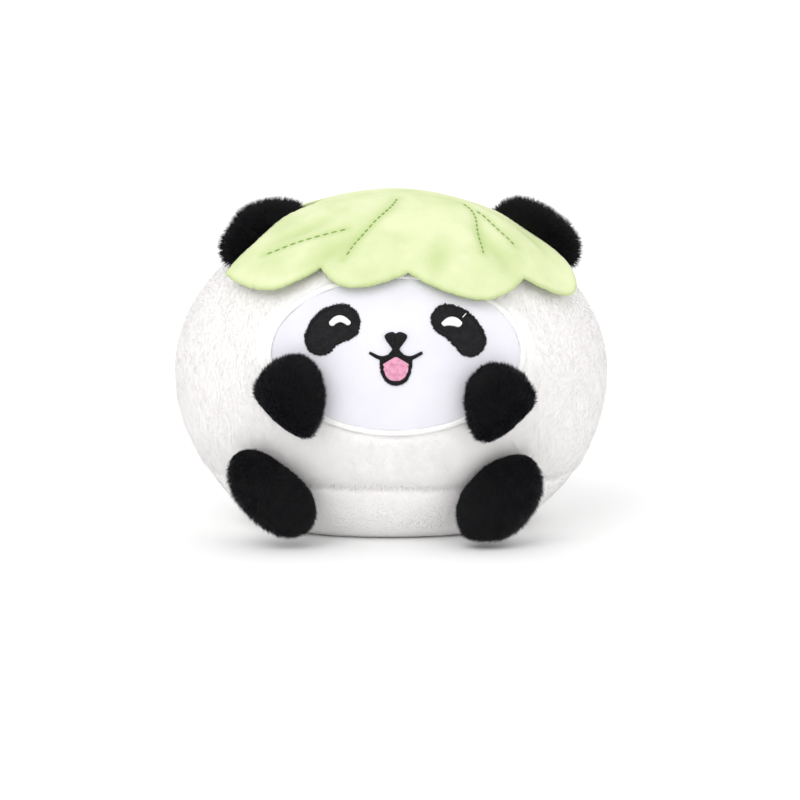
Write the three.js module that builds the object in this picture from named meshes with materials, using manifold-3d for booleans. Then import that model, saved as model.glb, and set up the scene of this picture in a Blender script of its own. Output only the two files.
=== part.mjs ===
// Plush panda, sitting, in the shape of a steamed bun: a wide round stuffed body whose front holds an
// oval embroidered face, with two arms on the cheeks, two feet, two ears and a scalloped leaf for a hat.
// Millimetres, +Z up. The panda looks along -Y, and the origin is the middle of the flat base it sits on.
import * as THREE from "three";
import { mergeVertices } from "three/addons/utils/BufferGeometryUtils.js";
import Module from "manifold-3d";

const wasm = await Module();
wasm.setup();

// ---- Driving dimensions ------------------------------------------------------------------------------

const BODY = { halfWidth: 56.2, halfDepth: 44, widest: 38.9, crown: 44.8, drop: 49 };
const BODY_MESH = { around: 32, upright: 20 };
const LIMB_MESH = { around: 14, upright: 9 };
const PLUSH = 1.4; // thickness of the plush cloth, with the pile lying down
const SEAM = 0.3; // open width left between two pieces that are sewn or pressed together
const FAR = 200; // reach of a cutting block, beyond the whole toy
const SETBACK = 3.2; // the arms and feet reach forward, so the body's middle sits behind the origin

const BASE_SEAM_Z = 14.5; // height of the seam round the base panel
const SIDE_SEAM_Y = 6; // the front and back panels meet here, over the crown and down both sides

const FACE = { x: 1.4, z: 48.2, halfWidth: 30.9, halfHeight: 18.6, border: 1.6, corners: 36 };
const EMBROIDERY = { felt: [0.3, 0.7], satin: [0.3, 0.9], nose: [0.3, 1.3], top: [1.0, 1.4] };

const EYE = { x: 15.9, z: 53.7, lean: 38, halfLength: 7.5, halfWidth: 5.4, border: 0.9 };
const HIGHLIGHT = { x: 11.9, z: 56.2, halfWidth: 2.6, rise: 1.5, drop: 1.3 };
const MUZZLE = { x: 1.4, noseZ: 52.1, mouthZ: 48.4, chinZ: 41.2 };

const ARM = {
  right: { x: -23.4, z: 38.5, spin: 38 },
  left: { x: 25.1, z: 36.9, spin: -38 },
  halfWidth: 8.7,
  halfLength: 10.2,
  halfDepth: 5.8,
  lift: 4.4, // height of the arm's middle above the body
  root: 7.4, // from the arm's middle to its sewn end
  clearance: 0.9,
  swing: 50,
};

const FOOT = {
  right: { x: -29.6, z: 13.9, lean: 40 },
  left: { x: 26.8, z: 12.9, lean: -40 },
  y: -36.4,
  halfLength: 12.4,
  halfWidth: 9.3,
  halfDepth: 6.4,
  turnedOut: 14,
  seamZ: 13.2,
  clearance: 0.6,
  flex: 8,
};

const EAR = {
  right: { x: -31.3, y: -8.6, yaw: 30, lean: 20 }, // yaw brings the outer end of the root forward
  left: { x: 34.8, y: -1, yaw: -30, lean: 12 },
  halfWidth: 12.2,
  rise: 9.8,
  halfDepth: 3.4,
  clearance: 0.5,
  bend: 25,
  slot: { inner: 1.5, front: 4.4, rear: 8 }, // room in the leaf round the root, beyond each side
};

// Rim of the leaf as azimuth and polar angle on the dome of the head, in degrees. Azimuth 0 is the
// front and + is the panda's left hand side; a cusp is a notch and each lobe bulges between two cusps.
const LEAF = {
  cusps: [
    [-62, 55],
    [-20.6, 50.5],
    [4.3, 51.6],
    [43.1, 55.2],
    [76, 57],
  ],
  lobes: [60.5, 57.8, 62.8, 63.5],
  rear: { count: 5, reach: 47, scallop: 4, from: 112 },
  steps: 5, // straight pieces in each scallop
  hinge: 1.5, // the front flap starts this far behind the crown
  lining: [1.3, 1.9],
  cloth: [2.2, 2.8],
  lift: 20,
};
const VEIN = { radius: 0.35, above: 0.3, sides: 3, steps: 6 };
const VEINS = [
  { name: "front_left", from: [3, 13], to: [-15, 47] },
  { name: "front_left_fork", from: [-20, 34], to: [-47, 47] },
  { name: "front_right", from: [62, 21], to: [33, 45] },
  { name: "front_right_fork", from: [58, 28], to: [50, 44] },
  { name: "rear_left", from: [142, 18], to: [146, 38] },
  { name: "rear_middle", from: [180, 18], to: [180, 40] },
  { name: "rear_right", from: [-142, 18], to: [-146, 38] },
];

const WHITE_PLUSH = new THREE.MeshStandardMaterial({ color: 0xf6f3f1, roughness: 0.95, metalness: 0 });
const WHITE_VELVET = new THREE.MeshStandardMaterial({ color: 0xf5f4fa, roughness: 0.85, metalness: 0 });
const BLACK_PLUSH = new THREE.MeshStandardMaterial({ color: 0x101014, roughness: 0.9, metalness: 0 });
const BLACK_FELT = new THREE.MeshStandardMaterial({ color: 0x232325, roughness: 0.95, metalness: 0 });
const BLACK_THREAD = new THREE.MeshStandardMaterial({ color: 0x121314, roughness: 0.5, metalness: 0 });
const WHITE_THREAD = new THREE.MeshStandardMaterial({ color: 0xfdfdfb, roughness: 0.5, metalness: 0 });
const PINK_THREAD = new THREE.MeshStandardMaterial({ color: 0xf2a6c2, roughness: 0.5, metalness: 0 });
const LEAF_CLOTH = new THREE.MeshStandardMaterial({ color: 0xe6f5b8, roughness: 0.9, metalness: 0 });
const LEAF_THREAD = new THREE.MeshStandardMaterial({ color: 0x9cc072, roughness: 0.6, metalness: 0 });
const FIBRE = new THREE.MeshStandardMaterial({ color: 0xf4f4f0, roughness: 1, metalness: 0 });

// ---- Solids ------------------------------------------------------------------------------------------

const rad = THREE.MathUtils.degToRad;

/** A closed three.js geometry as a manifold solid. */
function solidOf(geometry) {
  const bare = geometry.clone();
  bare.deleteAttribute("normal");
  bare.deleteAttribute("uv");
  const merged = mergeVertices(bare, 1e-4);
  return new wasm.Manifold(
    new wasm.Mesh({
      numProp: 3,
      vertProperties: new Float32Array(merged.attributes.position.array),
      triVerts: new Uint32Array(merged.index.array),
    }),
  );
}

/** A manifold solid as a three.js geometry. */
function geometryOf(solid) {
  const mesh = solid.getMesh();
  const places = new Float32Array(mesh.numVert * 3);
  for (let i = 0; i < mesh.numVert; i++) {
    places.set(mesh.vertProperties.subarray(i * mesh.numProp, i * mesh.numProp + 3), i * 3);
  }
  const geometry = new THREE.BufferGeometry();
  geometry.setAttribute("position", new THREE.BufferAttribute(places, 3));
  geometry.setIndex(new THREE.BufferAttribute(new Uint32Array(mesh.triVerts), 1));
  geometry.translate(0, SETBACK, 0);
  geometry.computeVertexNormals();
  return geometry;
}

/** A block between two corners. */
function block(low, high) {
  const size = high.map((h, i) => h - low[i]);
  const box = new THREE.BoxGeometry(...size);
  box.translate(...high.map((h, i) => (h + low[i]) / 2));
  return solidOf(box);
}

/** Everything on the side of the plane through point that its normal points away from. */
function halfSpace(point, normal) {
  const box = new THREE.BoxGeometry(FAR, FAR, FAR);
  box.translate(0, 0, -FAR / 2);
  const turn = new THREE.Quaternion().setFromUnitVectors(new THREE.Vector3(0, 0, 1), normal);
  box.applyQuaternion(turn);
  box.translate(point.x, point.y, point.z);
  return solidOf(box);
}

/** An ellipsoid with its poles on local z, put in place by a matrix. */
function ellipsoid(halfX, halfY, halfZ, matrix) {
  const ball = new THREE.SphereGeometry(1, LIMB_MESH.around, LIMB_MESH.upright);
  ball.rotateX(Math.PI / 2);
  ball.scale(halfX, halfY, halfZ);
  ball.applyMatrix4(matrix);
  return solidOf(ball);
}

/** The bun-shaped body, grown by an offset, as one solid cut flat at the base. */
function bun(grow) {
  const ball = new THREE.SphereGeometry(1, BODY_MESH.around, BODY_MESH.upright);
  ball.rotateX(Math.PI / 2);
  const place = ball.attributes.position;
  for (let i = 0; i < place.count; i++) {
    const height = place.getZ(i) > 0 ? BODY.crown + grow : BODY.drop + grow;
    place.setXYZ(
      i,
      place.getX(i) * (BODY.halfWidth + grow),
      place.getY(i) * (BODY.halfDepth + grow),
      BODY.widest + place.getZ(i) * height,
    );
  }
  return solidOf(ball).subtract(block([-FAR, -FAR, -FAR], [FAR, FAR, Math.max(0, -grow)]));
}

/** The layer of the body's surface that lies between two offsets. */
function layer([inner, outer]) {
  return bun(outer).subtract(bun(inner));
}

/** The half height of the body's ellipsoid at a level: the crown's above the widest, the drop's below. */
function heightAt(z) {
  return z > BODY.widest ? BODY.crown : BODY.drop;
}

/** The point of the body's front at x and z. */
function frontPoint(x, z) {
  const left = 1 - (x / BODY.halfWidth) ** 2 - ((z - BODY.widest) / heightAt(z)) ** 2;
  return new THREE.Vector3(x, -BODY.halfDepth * Math.sqrt(left), z);
}

/** The outward normal of the body at one of its points. */
function normalAt(point) {
  return new THREE.Vector3(
    point.x / BODY.halfWidth ** 2,
    point.y / BODY.halfDepth ** 2,
    (point.z - BODY.widest) / heightAt(point.z) ** 2,
  ).normalize();
}

/** A point of the dome of the head, from azimuth and polar angle in degrees, grown by an offset. */
function domePoint(azimuth, polar, grow) {
  const [a, p] = [rad(azimuth), rad(polar)];
  return new THREE.Vector3(
    (BODY.halfWidth + grow) * Math.sin(p) * Math.sin(a),
    -(BODY.halfDepth + grow) * Math.sin(p) * Math.cos(a),
    BODY.widest + (BODY.crown + grow) * Math.cos(p),
  );
}

/** A straight prism that carries an outline, drawn as the face is seen from in front, back through it. */
function frontPrism(shape) {
  const prism = new THREE.ExtrudeGeometry(shape, { depth: 60, bevelEnabled: false, curveSegments: 7 });
  prism.rotateX(Math.PI / 2);
  prism.translate(0, -10, 0);
  return solidOf(prism);
}

/** A piece of embroidery or felt: an outline laid on the body's front between two offsets. */
function onFace(shape, offsets) {
  return layer(offsets).intersect(frontPrism(shape));
}

/** An ellipse as a shape. */
function oval(x, z, halfWidth, halfHeight, corners = 6) {
  const curve = new THREE.EllipseCurve(x, z, halfWidth, halfHeight);
  return new THREE.Shape(curve.getPoints(corners).slice(0, -1));
}

const toy = new THREE.Group();

/** Adds a named mesh to the toy. */
function add(name, solid, material) {
  const mesh = new THREE.Mesh(geometryOf(solid), material);
  mesh.name = name;
  toy.add(mesh);
}

// ---- Body --------------------------------------------------------------------------------------------

/** The stuffed body: four plush panels round one body of fibre, with a hole in front for the face. */
function addBody() {
  const skin = layer([-PLUSH, 0]);
  const gap = SEAM / 2;
  const above = block([-FAR, -FAR, BASE_SEAM_Z + gap], [FAR, FAR, FAR]);
  const below = block([-FAR, -FAR, -FAR], [FAR, FAR, BASE_SEAM_Z - gap]);
  const front = block([-FAR, -FAR, -FAR], [FAR, SIDE_SEAM_Y - gap, FAR]);
  const backLeft = block([gap, SIDE_SEAM_Y + gap, -FAR], [FAR, FAR, FAR]);
  const backRight = block([-FAR, SIDE_SEAM_Y + gap, -FAR], [-gap, FAR, FAR]);
  const { x, z, halfWidth, halfHeight } = FACE;
  const hole = frontPrism(oval(x, z, halfWidth, halfHeight, FACE.corners));
  const window = frontPrism(oval(x, z, halfWidth - SEAM, halfHeight - SEAM, FACE.corners));

  add("front_panel", skin.intersect(above).intersect(front).subtract(hole), WHITE_PLUSH);
  add("back_panel_left", skin.intersect(above).intersect(backLeft), WHITE_PLUSH);
  add("back_panel_right", skin.intersect(above).intersect(backRight), WHITE_PLUSH);
  add("base_panel", skin.intersect(below), WHITE_PLUSH);
  add("body_stuffing", bun(-PLUSH - SEAM), FIBRE);
  add("face_panel", skin.intersect(window), WHITE_VELVET);
}

// ---- Face --------------------------------------------------------------------------------------------

/** The bean outline of an eye patch, side -1 or 1, at a share of its full size about its middle. */
function eyeBean(side, share) {
  const tilt = rad(EYE.lean) * side;
  const [long, wide] = [EYE.halfLength * share, EYE.halfWidth * share];
  // Along the bean from its lower outer end: the inner side is pinched, the outer side is full.
  const at = (along, across) =>
    new THREE.Vector2(
      FACE.x + side * (EYE.x - 0.7) + along * long * -Math.sin(tilt) + across * wide * side * Math.cos(tilt),
      EYE.z + along * long * Math.cos(tilt) + across * wide * side * Math.sin(tilt),
    );
  const ring = [
    [-1, 0.05],
    [-0.78, 0.72],
    [-0.2, 1.02],
    [0.45, 0.95],
    [0.93, 0.45],
    [0.98, -0.35],
    [0.6, -0.92],
    [0.1, -0.82],
    [-0.35, -0.78],
    [-0.85, -0.62],
  ].map(([along, across]) => at(along, across));
  const curve = new THREE.SplineCurve([...ring, ring[0]]);
  return new THREE.Shape(curve.getPoints(22).slice(0, -1));
}

/** The curved white highlight in an eye patch: a short arch with a notch below it. */
function highlight(side) {
  const { x, z, halfWidth, rise, drop } = HIGHLIGHT;
  const middle = side * x + (side < 0 ? 0 : FACE.x * 2);
  const shape = new THREE.Shape();
  shape.moveTo(middle - halfWidth, z - drop * 0.2);
  shape.quadraticCurveTo(middle - halfWidth * 0.4, z + rise * 1.2, middle + halfWidth * 0.4, z + rise * 0.7);
  shape.quadraticCurveTo(middle + halfWidth * 1.1, z, middle + halfWidth * 0.7, z - drop * 0.9);
  shape.quadraticCurveTo(middle, z + drop * 0.5, middle - halfWidth * 0.5, z - drop);
  shape.closePath();
  return shape;
}

/** The nose: a rounded triangle that narrows into a short stem. */
function noseShape() {
  const { x, noseZ } = MUZZLE;
  const shape = new THREE.Shape();
  shape.moveTo(x, noseZ - 2.4);
  shape.lineTo(x - 1.2, noseZ - 2.0);
  shape.quadraticCurveTo(x - 3.0, noseZ - 0.2, x - 2.8, noseZ + 0.9);
  shape.quadraticCurveTo(x - 1.4, noseZ + 2.4, x, noseZ + 1.5);
  shape.quadraticCurveTo(x + 1.4, noseZ + 2.4, x + 2.8, noseZ + 0.9);
  shape.quadraticCurveTo(x + 3.0, noseZ - 0.2, x + 1.2, noseZ - 2.0);
  shape.closePath();
  return shape;
}

/** The open mouth's black outline, without the tongue's hole. */
function mouthShape() {
  const { x, mouthZ, chinZ } = MUZZLE;
  const shape = new THREE.Shape();
  shape.moveTo(x, mouthZ + 0.9);
  shape.quadraticCurveTo(x - 3.0, mouthZ - 0.8, x - 6.3, mouthZ + 0.8);
  shape.quadraticCurveTo(x - 5.6, mouthZ - 1.0, x - 4.2, mouthZ - 1.4);
  shape.bezierCurveTo(x - 4.4, chinZ + 2.4, x - 2.6, chinZ, x, chinZ);
  shape.bezierCurveTo(x + 2.6, chinZ, x + 4.4, chinZ + 2.4, x + 4.2, mouthZ - 1.4);
  shape.quadraticCurveTo(x + 5.6, mouthZ - 1.0, x + 6.3, mouthZ + 0.8);
  shape.quadraticCurveTo(x + 3.0, mouthZ - 0.8, x, mouthZ + 0.9);
  return shape;
}

/** The tongue: a round-bottomed pennant, shrunk by an inset. */
function tongueShape(inset) {
  const { x, mouthZ, chinZ } = MUZZLE;
  const [top, side, bottom] = [mouthZ - 0.2 - inset * 1.4, 3.1 - inset, chinZ + 1.2 + inset];
  const shape = new THREE.Shape();
  shape.moveTo(x, top);
  shape.lineTo(x - side, mouthZ - 2.0 - inset * 0.4);
  shape.bezierCurveTo(x - side, bottom + 1.6, x - side * 0.6, bottom, x, bottom);
  shape.bezierCurveTo(x + side * 0.6, bottom, x + side, bottom + 1.6, x + side, mouthZ - 2.0 - inset * 0.4);
  shape.closePath();
  return shape;
}

/** The embroidered face: border cord, eye patches with their stitched edges, nose, mouth and tongue. */
function addFace() {
  const { x, z, halfWidth, halfHeight, border, corners } = FACE;
  const half = border / 2;
  const ring = onFace(oval(x, z, halfWidth + half, halfHeight + half, corners), EMBROIDERY.satin);
  const inside = frontPrism(oval(x, z, halfWidth - half, halfHeight - half, corners));
  add("face_border", ring.subtract(inside), WHITE_THREAD);

  for (const [hand, side] of [
    ["right", -1],
    ["left", 1],
  ]) {
    const inner = 1 - EYE.border / EYE.halfWidth;
    const edge = onFace(eyeBean(side, 1), EMBROIDERY.satin).subtract(frontPrism(eyeBean(side, inner)));
    add(`eye_patch_${hand}`, onFace(eyeBean(side, inner - SEAM / EYE.halfWidth), EMBROIDERY.felt), BLACK_FELT);
    add(`eye_patch_edge_${hand}`, edge, BLACK_THREAD);
    add(`eye_highlight_${hand}`, onFace(highlight(side), EMBROIDERY.top), WHITE_THREAD);
  }

  const mouth = onFace(mouthShape(), EMBROIDERY.satin).subtract(frontPrism(tongueShape(0)));
  add("nose", onFace(noseShape(), EMBROIDERY.nose).subtract(frontPrism(mouthShape())), BLACK_THREAD);
  add("mouth_outline", mouth, BLACK_THREAD);
  add("tongue", onFace(tongueShape(SEAM), EMBROIDERY.felt), PINK_THREAD);
}

// ---- Arms, feet and ears -----------------------------------------------------------------------------

/** A matrix at a point whose z is the normal and whose y is the way up, turned by spin degrees towards +x. */
function standingOn(point, normal, spin) {
  const right = new THREE.Vector3(0, 0, 1).cross(normal).normalize();
  const up = normal.clone().cross(right);
  const frame = new THREE.Matrix4().makeBasis(right, up, normal).setPosition(point);
  return frame.multiply(new THREE.Matrix4().makeRotationZ(-rad(spin)));
}

/**
 * A stuffed limb: an outer and an inner plush panel, split across local z at the limb's middle, round a
 * body of fibre. shape(inset) gives the whole limb, or the limb without its cloth.
 */
function addLimb(name, shape, frame, middle) {
  const normal = new THREE.Vector3(0, 0, 1).transformDirection(frame);
  const at = (height) => new THREE.Vector3(0, 0, height).applyMatrix4(frame);
  const cover = shape(0).subtract(shape(PLUSH));
  const gap = SEAM / 2;
  add(`${name}_outer_panel`, cover.subtract(halfSpace(at(middle + gap), normal)), BLACK_PLUSH);
  add(`${name}_inner_panel`, cover.subtract(halfSpace(at(middle - gap), normal.clone().negate())), BLACK_PLUSH);
  add(`${name}_stuffing`, shape(PLUSH + SEAM), FIBRE);
}

/** An arm lies on the cheek. It is sewn along its lower outer end, and swings out about that seam. */
function addArm(name, { x, z, spin }) {
  const point = frontPoint(x, z);
  const frame = standingOn(point, normalAt(point), spin);
  const middle = frame.clone().multiply(new THREE.Matrix4().makeTranslation(0, 0, ARM.lift));
  const normal = new THREE.Vector3(0, 0, 1).transformDirection(frame);
  const along = new THREE.Vector3(0, 1, 0).transformDirection(frame);
  const shape = (inset) => {
    const whole = ellipsoid(ARM.halfWidth - inset, ARM.halfLength - inset, ARM.halfDepth - inset, middle);
    const under = new THREE.Vector3(0, 0, ARM.clearance + inset).applyMatrix4(frame);
    const root = new THREE.Vector3(0, -ARM.root + inset, 0).applyMatrix4(frame);
    return whole.subtract(halfSpace(under, normal)).subtract(halfSpace(root, along));
  };
  addLimb(name, shape, frame, ARM.lift);
}

/** A foot stands on the floor with its sole forward. It is sewn to the base seam behind its middle. */
function addFoot(name, { x, z, lean }) {
  const side = Math.sign(x);
  const sole = new THREE.Vector3(side * Math.sin(rad(FOOT.turnedOut)), -Math.cos(rad(FOOT.turnedOut)), 0);
  const frame = standingOn(new THREE.Vector3(x, FOOT.y, z), sole, -lean);
  const seam = frontPoint(x, FOOT.seamZ);
  const away = normalAt(seam);
  const pivot = seam.clone().addScaledVector(away, FOOT.clearance);
  const axis = new THREE.Vector3(-away.y, away.x, 0).normalize();
  const shape = (inset) => {
    let foot = ellipsoid(
      FOOT.halfWidth - inset,
      FOOT.halfLength - inset,
      FOOT.halfDepth - inset,
      frame,
    );
    for (const bend of [-FOOT.flex, FOOT.flex]) {
      const leaning = away.clone().applyAxisAngle(axis, rad(bend));
      foot = foot.subtract(halfSpace(pivot.clone().addScaledVector(away, inset), leaning));
    }
    return foot;
  };
  addLimb(name, shape, frame, 0);
}

/** Where an ear is rooted: the pivot, the head's normal there, the root's direction and the way back. */
function earRoot({ x, y, yaw }) {
  const sides = 1 - (x / BODY.halfWidth) ** 2 - (y / BODY.halfDepth) ** 2;
  const point = new THREE.Vector3(x, y, BODY.widest + BODY.crown * Math.sqrt(sides));
  const up = normalAt(point);
  const back = new THREE.Vector3(-Math.sin(rad(yaw)), Math.cos(rad(yaw)), 0);
  back.addScaledVector(up, -up.dot(back)).normalize();
  const along = up.clone().cross(back).negate();
  return { pivot: point.clone().addScaledVector(up, EAR.clearance), up, back, along };
}

/** An ear stands on the head behind the leaf. It is sewn along its base, and bends back about that seam. */
function addEar(name, ear) {
  const { pivot, up, back, along } = earRoot(ear);
  const lean = (direction, angle) => direction.clone().applyAxisAngle(along, -rad(angle));
  const [tip, rear] = [lean(up, ear.lean), lean(back, ear.lean)];
  const frame = new THREE.Matrix4().makeBasis(along, rear, tip).setPosition(pivot);
  let whole = ellipsoid(EAR.halfWidth, EAR.halfDepth, EAR.rise, frame);
  for (const bend of [0, EAR.bend]) {
    whole = whole.subtract(halfSpace(pivot, lean(up, -bend)));
  }
  const gap = SEAM / 2;
  const front = halfSpace(pivot.clone().addScaledVector(rear, -gap), rear.clone().negate());
  const behind = halfSpace(pivot.clone().addScaledVector(rear, gap), rear);
  add(`${name}_front_panel`, whole.subtract(front), BLACK_PLUSH);
  add(`${name}_back_panel`, whole.subtract(behind), BLACK_PLUSH);
}

/** The room an ear needs in the leaf: open at the outer end, and reaching back behind the root. */
function earSlot(ear, rear) {
  const { pivot, up, back, along } = earRoot(ear);
  const { inner, front } = EAR.slot;
  const [width, depth] = [EAR.halfWidth + inner + FAR, front + rear];
  const box = new THREE.BoxGeometry(width, depth, FAR);
  const side = Math.sign(ear.x);
  box.translate(side * (width / 2 - EAR.halfWidth - inner), depth / 2 - front, 0);
  box.applyMatrix4(new THREE.Matrix4().makeBasis(along, back, up).setPosition(pivot));
  return solidOf(box);
}

// ---- Leaf hat ----------------------------------------------------------------------------------------

/** The leaf's rim as azimuth and polar angle: big scallops in front, small ones behind the ears. */
function leafRim() {
  const lerp = THREE.MathUtils.lerp;
  const rim = [];
  LEAF.lobes.forEach((reach, i) => {
    const [from, to] = [LEAF.cusps[i], LEAF.cusps[i + 1]];
    for (let step = 0; step < LEAF.steps; step++) {
      const share = step / LEAF.steps;
      const bulge = (reach - lerp(from[1], to[1], 0.5)) * Math.sin(Math.PI * share) ** 0.7;
      rim.push([lerp(from[0], to[0], share), lerp(from[1], to[1], share) + bulge]);
    }
  });
  const { count, reach, scallop, from } = LEAF.rear;
  for (let step = 0; step <= count * LEAF.steps; step++) {
    const share = step / (count * LEAF.steps);
    const bulge = scallop * Math.abs(Math.sin(Math.PI * share * count)) ** 0.7;
    rim.push([from + share * 2 * (180 - from), reach + bulge]);
  }
  return rim;
}

/** A cone of rays from the middle of the head through the leaf's rim. */
function leafCone() {
  const shape = new THREE.Shape(
    leafRim().map(([azimuth, polar]) => {
      const reach = Math.tan(rad(polar));
      return new THREE.Vector2(reach * Math.sin(rad(azimuth)), -reach * Math.cos(rad(azimuth)));
    }),
  );
  const cone = new THREE.ExtrudeGeometry(shape, { depth: 1.4, bevelEnabled: false });
  const place = cone.attributes.position;
  for (let i = 0; i < place.count; i++) {
    const height = place.getZ(i) + 0.1;
    place.setXYZ(i, place.getX(i) * height, place.getY(i) * height, height);
  }
  cone.scale(BODY.halfWidth, BODY.halfDepth, BODY.crown);
  cone.translate(0, 0, BODY.widest);
  return solidOf(cone);
}

/** A row of sewn thread on the leaf, from one dome position to another. */
function vein(from, to) {
  const lerp = THREE.MathUtils.lerp;
  const grow = LEAF.cloth[1] + VEIN.above + VEIN.radius;
  const points = [0, 1, 2, 3, 4].map((i) =>
    domePoint(lerp(from[0], to[0], i / 4), lerp(from[1], to[1], i / 4), grow),
  );
  const section = oval(0, 0, VEIN.radius, VEIN.radius);
  return solidOf(
    new THREE.ExtrudeGeometry(section, {
      steps: VEIN.steps,
      curveSegments: VEIN.sides,
      extrudePath: new THREE.CatmullRomCurve3(points),
    }),
  );
}

/** The leaf: cloth over lining, sewn down behind the crown, with a front flap that lifts. */
function addLeaf() {
  const outline = leafCone();
  const gap = SEAM / 2;
  let frontHalf = block([-FAR, -FAR, -FAR], [FAR, LEAF.hinge - gap, FAR]);
  let rearHalf = block([-FAR, LEAF.hinge + gap, -FAR], [FAR, FAR, FAR]);
  for (const ear of [EAR.left, EAR.right]) {
    frontHalf = frontHalf.subtract(earSlot(ear, FAR / 4));
    rearHalf = rearHalf.subtract(earSlot(ear, EAR.slot.rear));
  }
  for (const part of ["cloth", "lining"]) {
    const sheet = layer(LEAF[part]).intersect(outline);
    add(`leaf_${part}_front`, sheet.intersect(frontHalf), LEAF_CLOTH);
    add(`leaf_${part}_rear`, sheet.intersect(rearHalf), LEAF_CLOTH);
  }
  for (const { name, from, to } of VEINS) {
    add(`leaf_vein_${name}`, vein(from, to), LEAF_THREAD);
  }
}

addBody();
addFace();
addArm("arm_right", ARM.right);
addArm("arm_left", ARM.left);
addFoot("foot_right", FOOT.right);
addFoot("foot_left", FOOT.left);
addEar("ear_right", EAR.right);
addEar("ear_left", EAR.left);
addLeaf();

export default toy;
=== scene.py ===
"""Looks for a sitting plush panda: plush panels, embroidered face, stuffed limbs and a leaf hat.

Shapes are worked out in millimetres in the part's own frame and written to meshes in metres. The body is
a bun: half an ellipsoid above its widest level and half a taller one below, resting on a flat base. Every
cloth, thread and limb is placed on that bun by one function, so the pieces agree with one another.
"""

from __future__ import annotations

import logging
import math
from dataclasses import dataclass
from enum import Enum
from typing import Callable, Sequence

import bpy
import numpy as np
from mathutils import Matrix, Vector, geometry

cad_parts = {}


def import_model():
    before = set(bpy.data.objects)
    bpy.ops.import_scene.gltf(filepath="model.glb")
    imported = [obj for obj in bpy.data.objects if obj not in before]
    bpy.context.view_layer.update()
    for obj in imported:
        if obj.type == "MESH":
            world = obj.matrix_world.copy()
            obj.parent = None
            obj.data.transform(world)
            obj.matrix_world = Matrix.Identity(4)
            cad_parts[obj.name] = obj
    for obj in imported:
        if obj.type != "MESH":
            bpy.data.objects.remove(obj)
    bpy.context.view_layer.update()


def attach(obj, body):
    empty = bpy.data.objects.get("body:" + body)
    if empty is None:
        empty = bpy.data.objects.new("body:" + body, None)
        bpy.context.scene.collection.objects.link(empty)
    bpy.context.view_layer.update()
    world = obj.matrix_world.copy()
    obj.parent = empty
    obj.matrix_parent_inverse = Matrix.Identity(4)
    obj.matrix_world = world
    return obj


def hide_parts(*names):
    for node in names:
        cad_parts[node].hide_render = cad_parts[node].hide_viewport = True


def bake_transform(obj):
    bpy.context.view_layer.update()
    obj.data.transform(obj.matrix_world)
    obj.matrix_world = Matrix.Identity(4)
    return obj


MM = 0.001
SETBACK = 3.2
PATTERN_SCALE = 50.0
ROOT_DEPTH = 0.12
SHORTEST = 0.12
TUFT_SIZE = 5.0
TUFT_TURN = 22.0
TUFT_LENGTH = 0.12
FLOOR_GAP = 0.04
Array = np.ndarray
Faces = Sequence[Array]
Pair = tuple[float, float]
Shade = tuple[int, int, int]
Flow = Callable[[Array, Array], Array]
Trim = Callable[[Array], Array]
LOG = logging.getLogger("plush_panda")


# ---- Small tools ---------------------------------------------------------------------------------------


def normalised(vectors: Array) -> Array:
    """Returns the vectors scaled to length one."""
    return vectors / np.maximum(np.linalg.norm(vectors, axis=-1, keepdims=True), 1e-9)


def blend(low: float, high: float, values: Array) -> Array:
    """Returns 0 below low, 1 above high and a smooth cubic rise between them."""
    t = np.clip((values - low) / (high - low), 0.0, 1.0)
    return t * t * (3.0 - 2.0 * t)


def ripple(points: Array, wavelength: float, seed: int) -> Array:
    """Smooth noise: the mean of nine sine waves that run in random directions.

    Args:
        points: places, one per row, in millimetres.
        wavelength: the length of one wave, in millimetres.
        seed: picks the directions and phases.

    Returns:
        One value per place, mostly between -1 and 1.
    """
    rng = np.random.default_rng(seed)
    directions = normalised(rng.normal(size=(9, 3)))
    lengths = wavelength * rng.uniform(0.7, 1.5, 9)
    phases = rng.uniform(0, 2 * np.pi, 9)
    waves = np.sin(points @ (directions / lengths[:, None] * 2 * np.pi).T + phases)
    return waves.mean(axis=-1) * 2.0


def linear(red: int, green: int, blue: int) -> tuple[float, float, float, float]:
    """Returns a colour given in 0 to 255 display values as linear light with alpha."""
    channels = [c / 255 for c in (red, green, blue)]
    light = [c / 12.92 if c <= 0.04045 else ((c + 0.055) / 1.055) ** 2.4 for c in channels]
    return (light[0], light[1], light[2], 1.0)


def catmull_rom(points: Array, index: Array, share: Array) -> Array:
    """Places on a smooth curve through control points.

    Args:
        points: the control points, taken as a ring.
        index: the control point that each span starts from.
        share: how far along the span each place is, from 0 to 1.

    Returns:
        The places. Each span is a cubic whose slopes at its ends are half the chords between the
        neighbours.
    """
    t = share[:, None]
    a, b, c, d = (points[(index + k) % len(points)] for k in (-1, 0, 1, 2))
    return 0.5 * (2 * b + (c - a) * t + (2 * a - 5 * b + 4 * c - d) * t**2 + (3 * b - a - 3 * c + d) * t**3)


def closed_curve(controls: Sequence[Pair], count: int) -> Array:
    """Returns count points of a smooth loop that passes through the control points in order."""
    p = np.asarray(controls, float)
    at = np.linspace(0, len(p), count, endpoint=False)
    return catmull_rom(p, at.astype(int), at % 1.0)


def open_curve(controls: Sequence[Pair], count: int) -> Array:
    """Returns count points of a smooth curve from the first control point to the last."""
    p = np.asarray(controls, float)
    padded = np.vstack([2 * p[0] - p[1], p, 2 * p[-1] - p[-2]])
    at = np.linspace(0, len(p) - 1 - 1e-9, count)
    return catmull_rom(padded, at.astype(int) + 1, at % 1.0)


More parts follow.
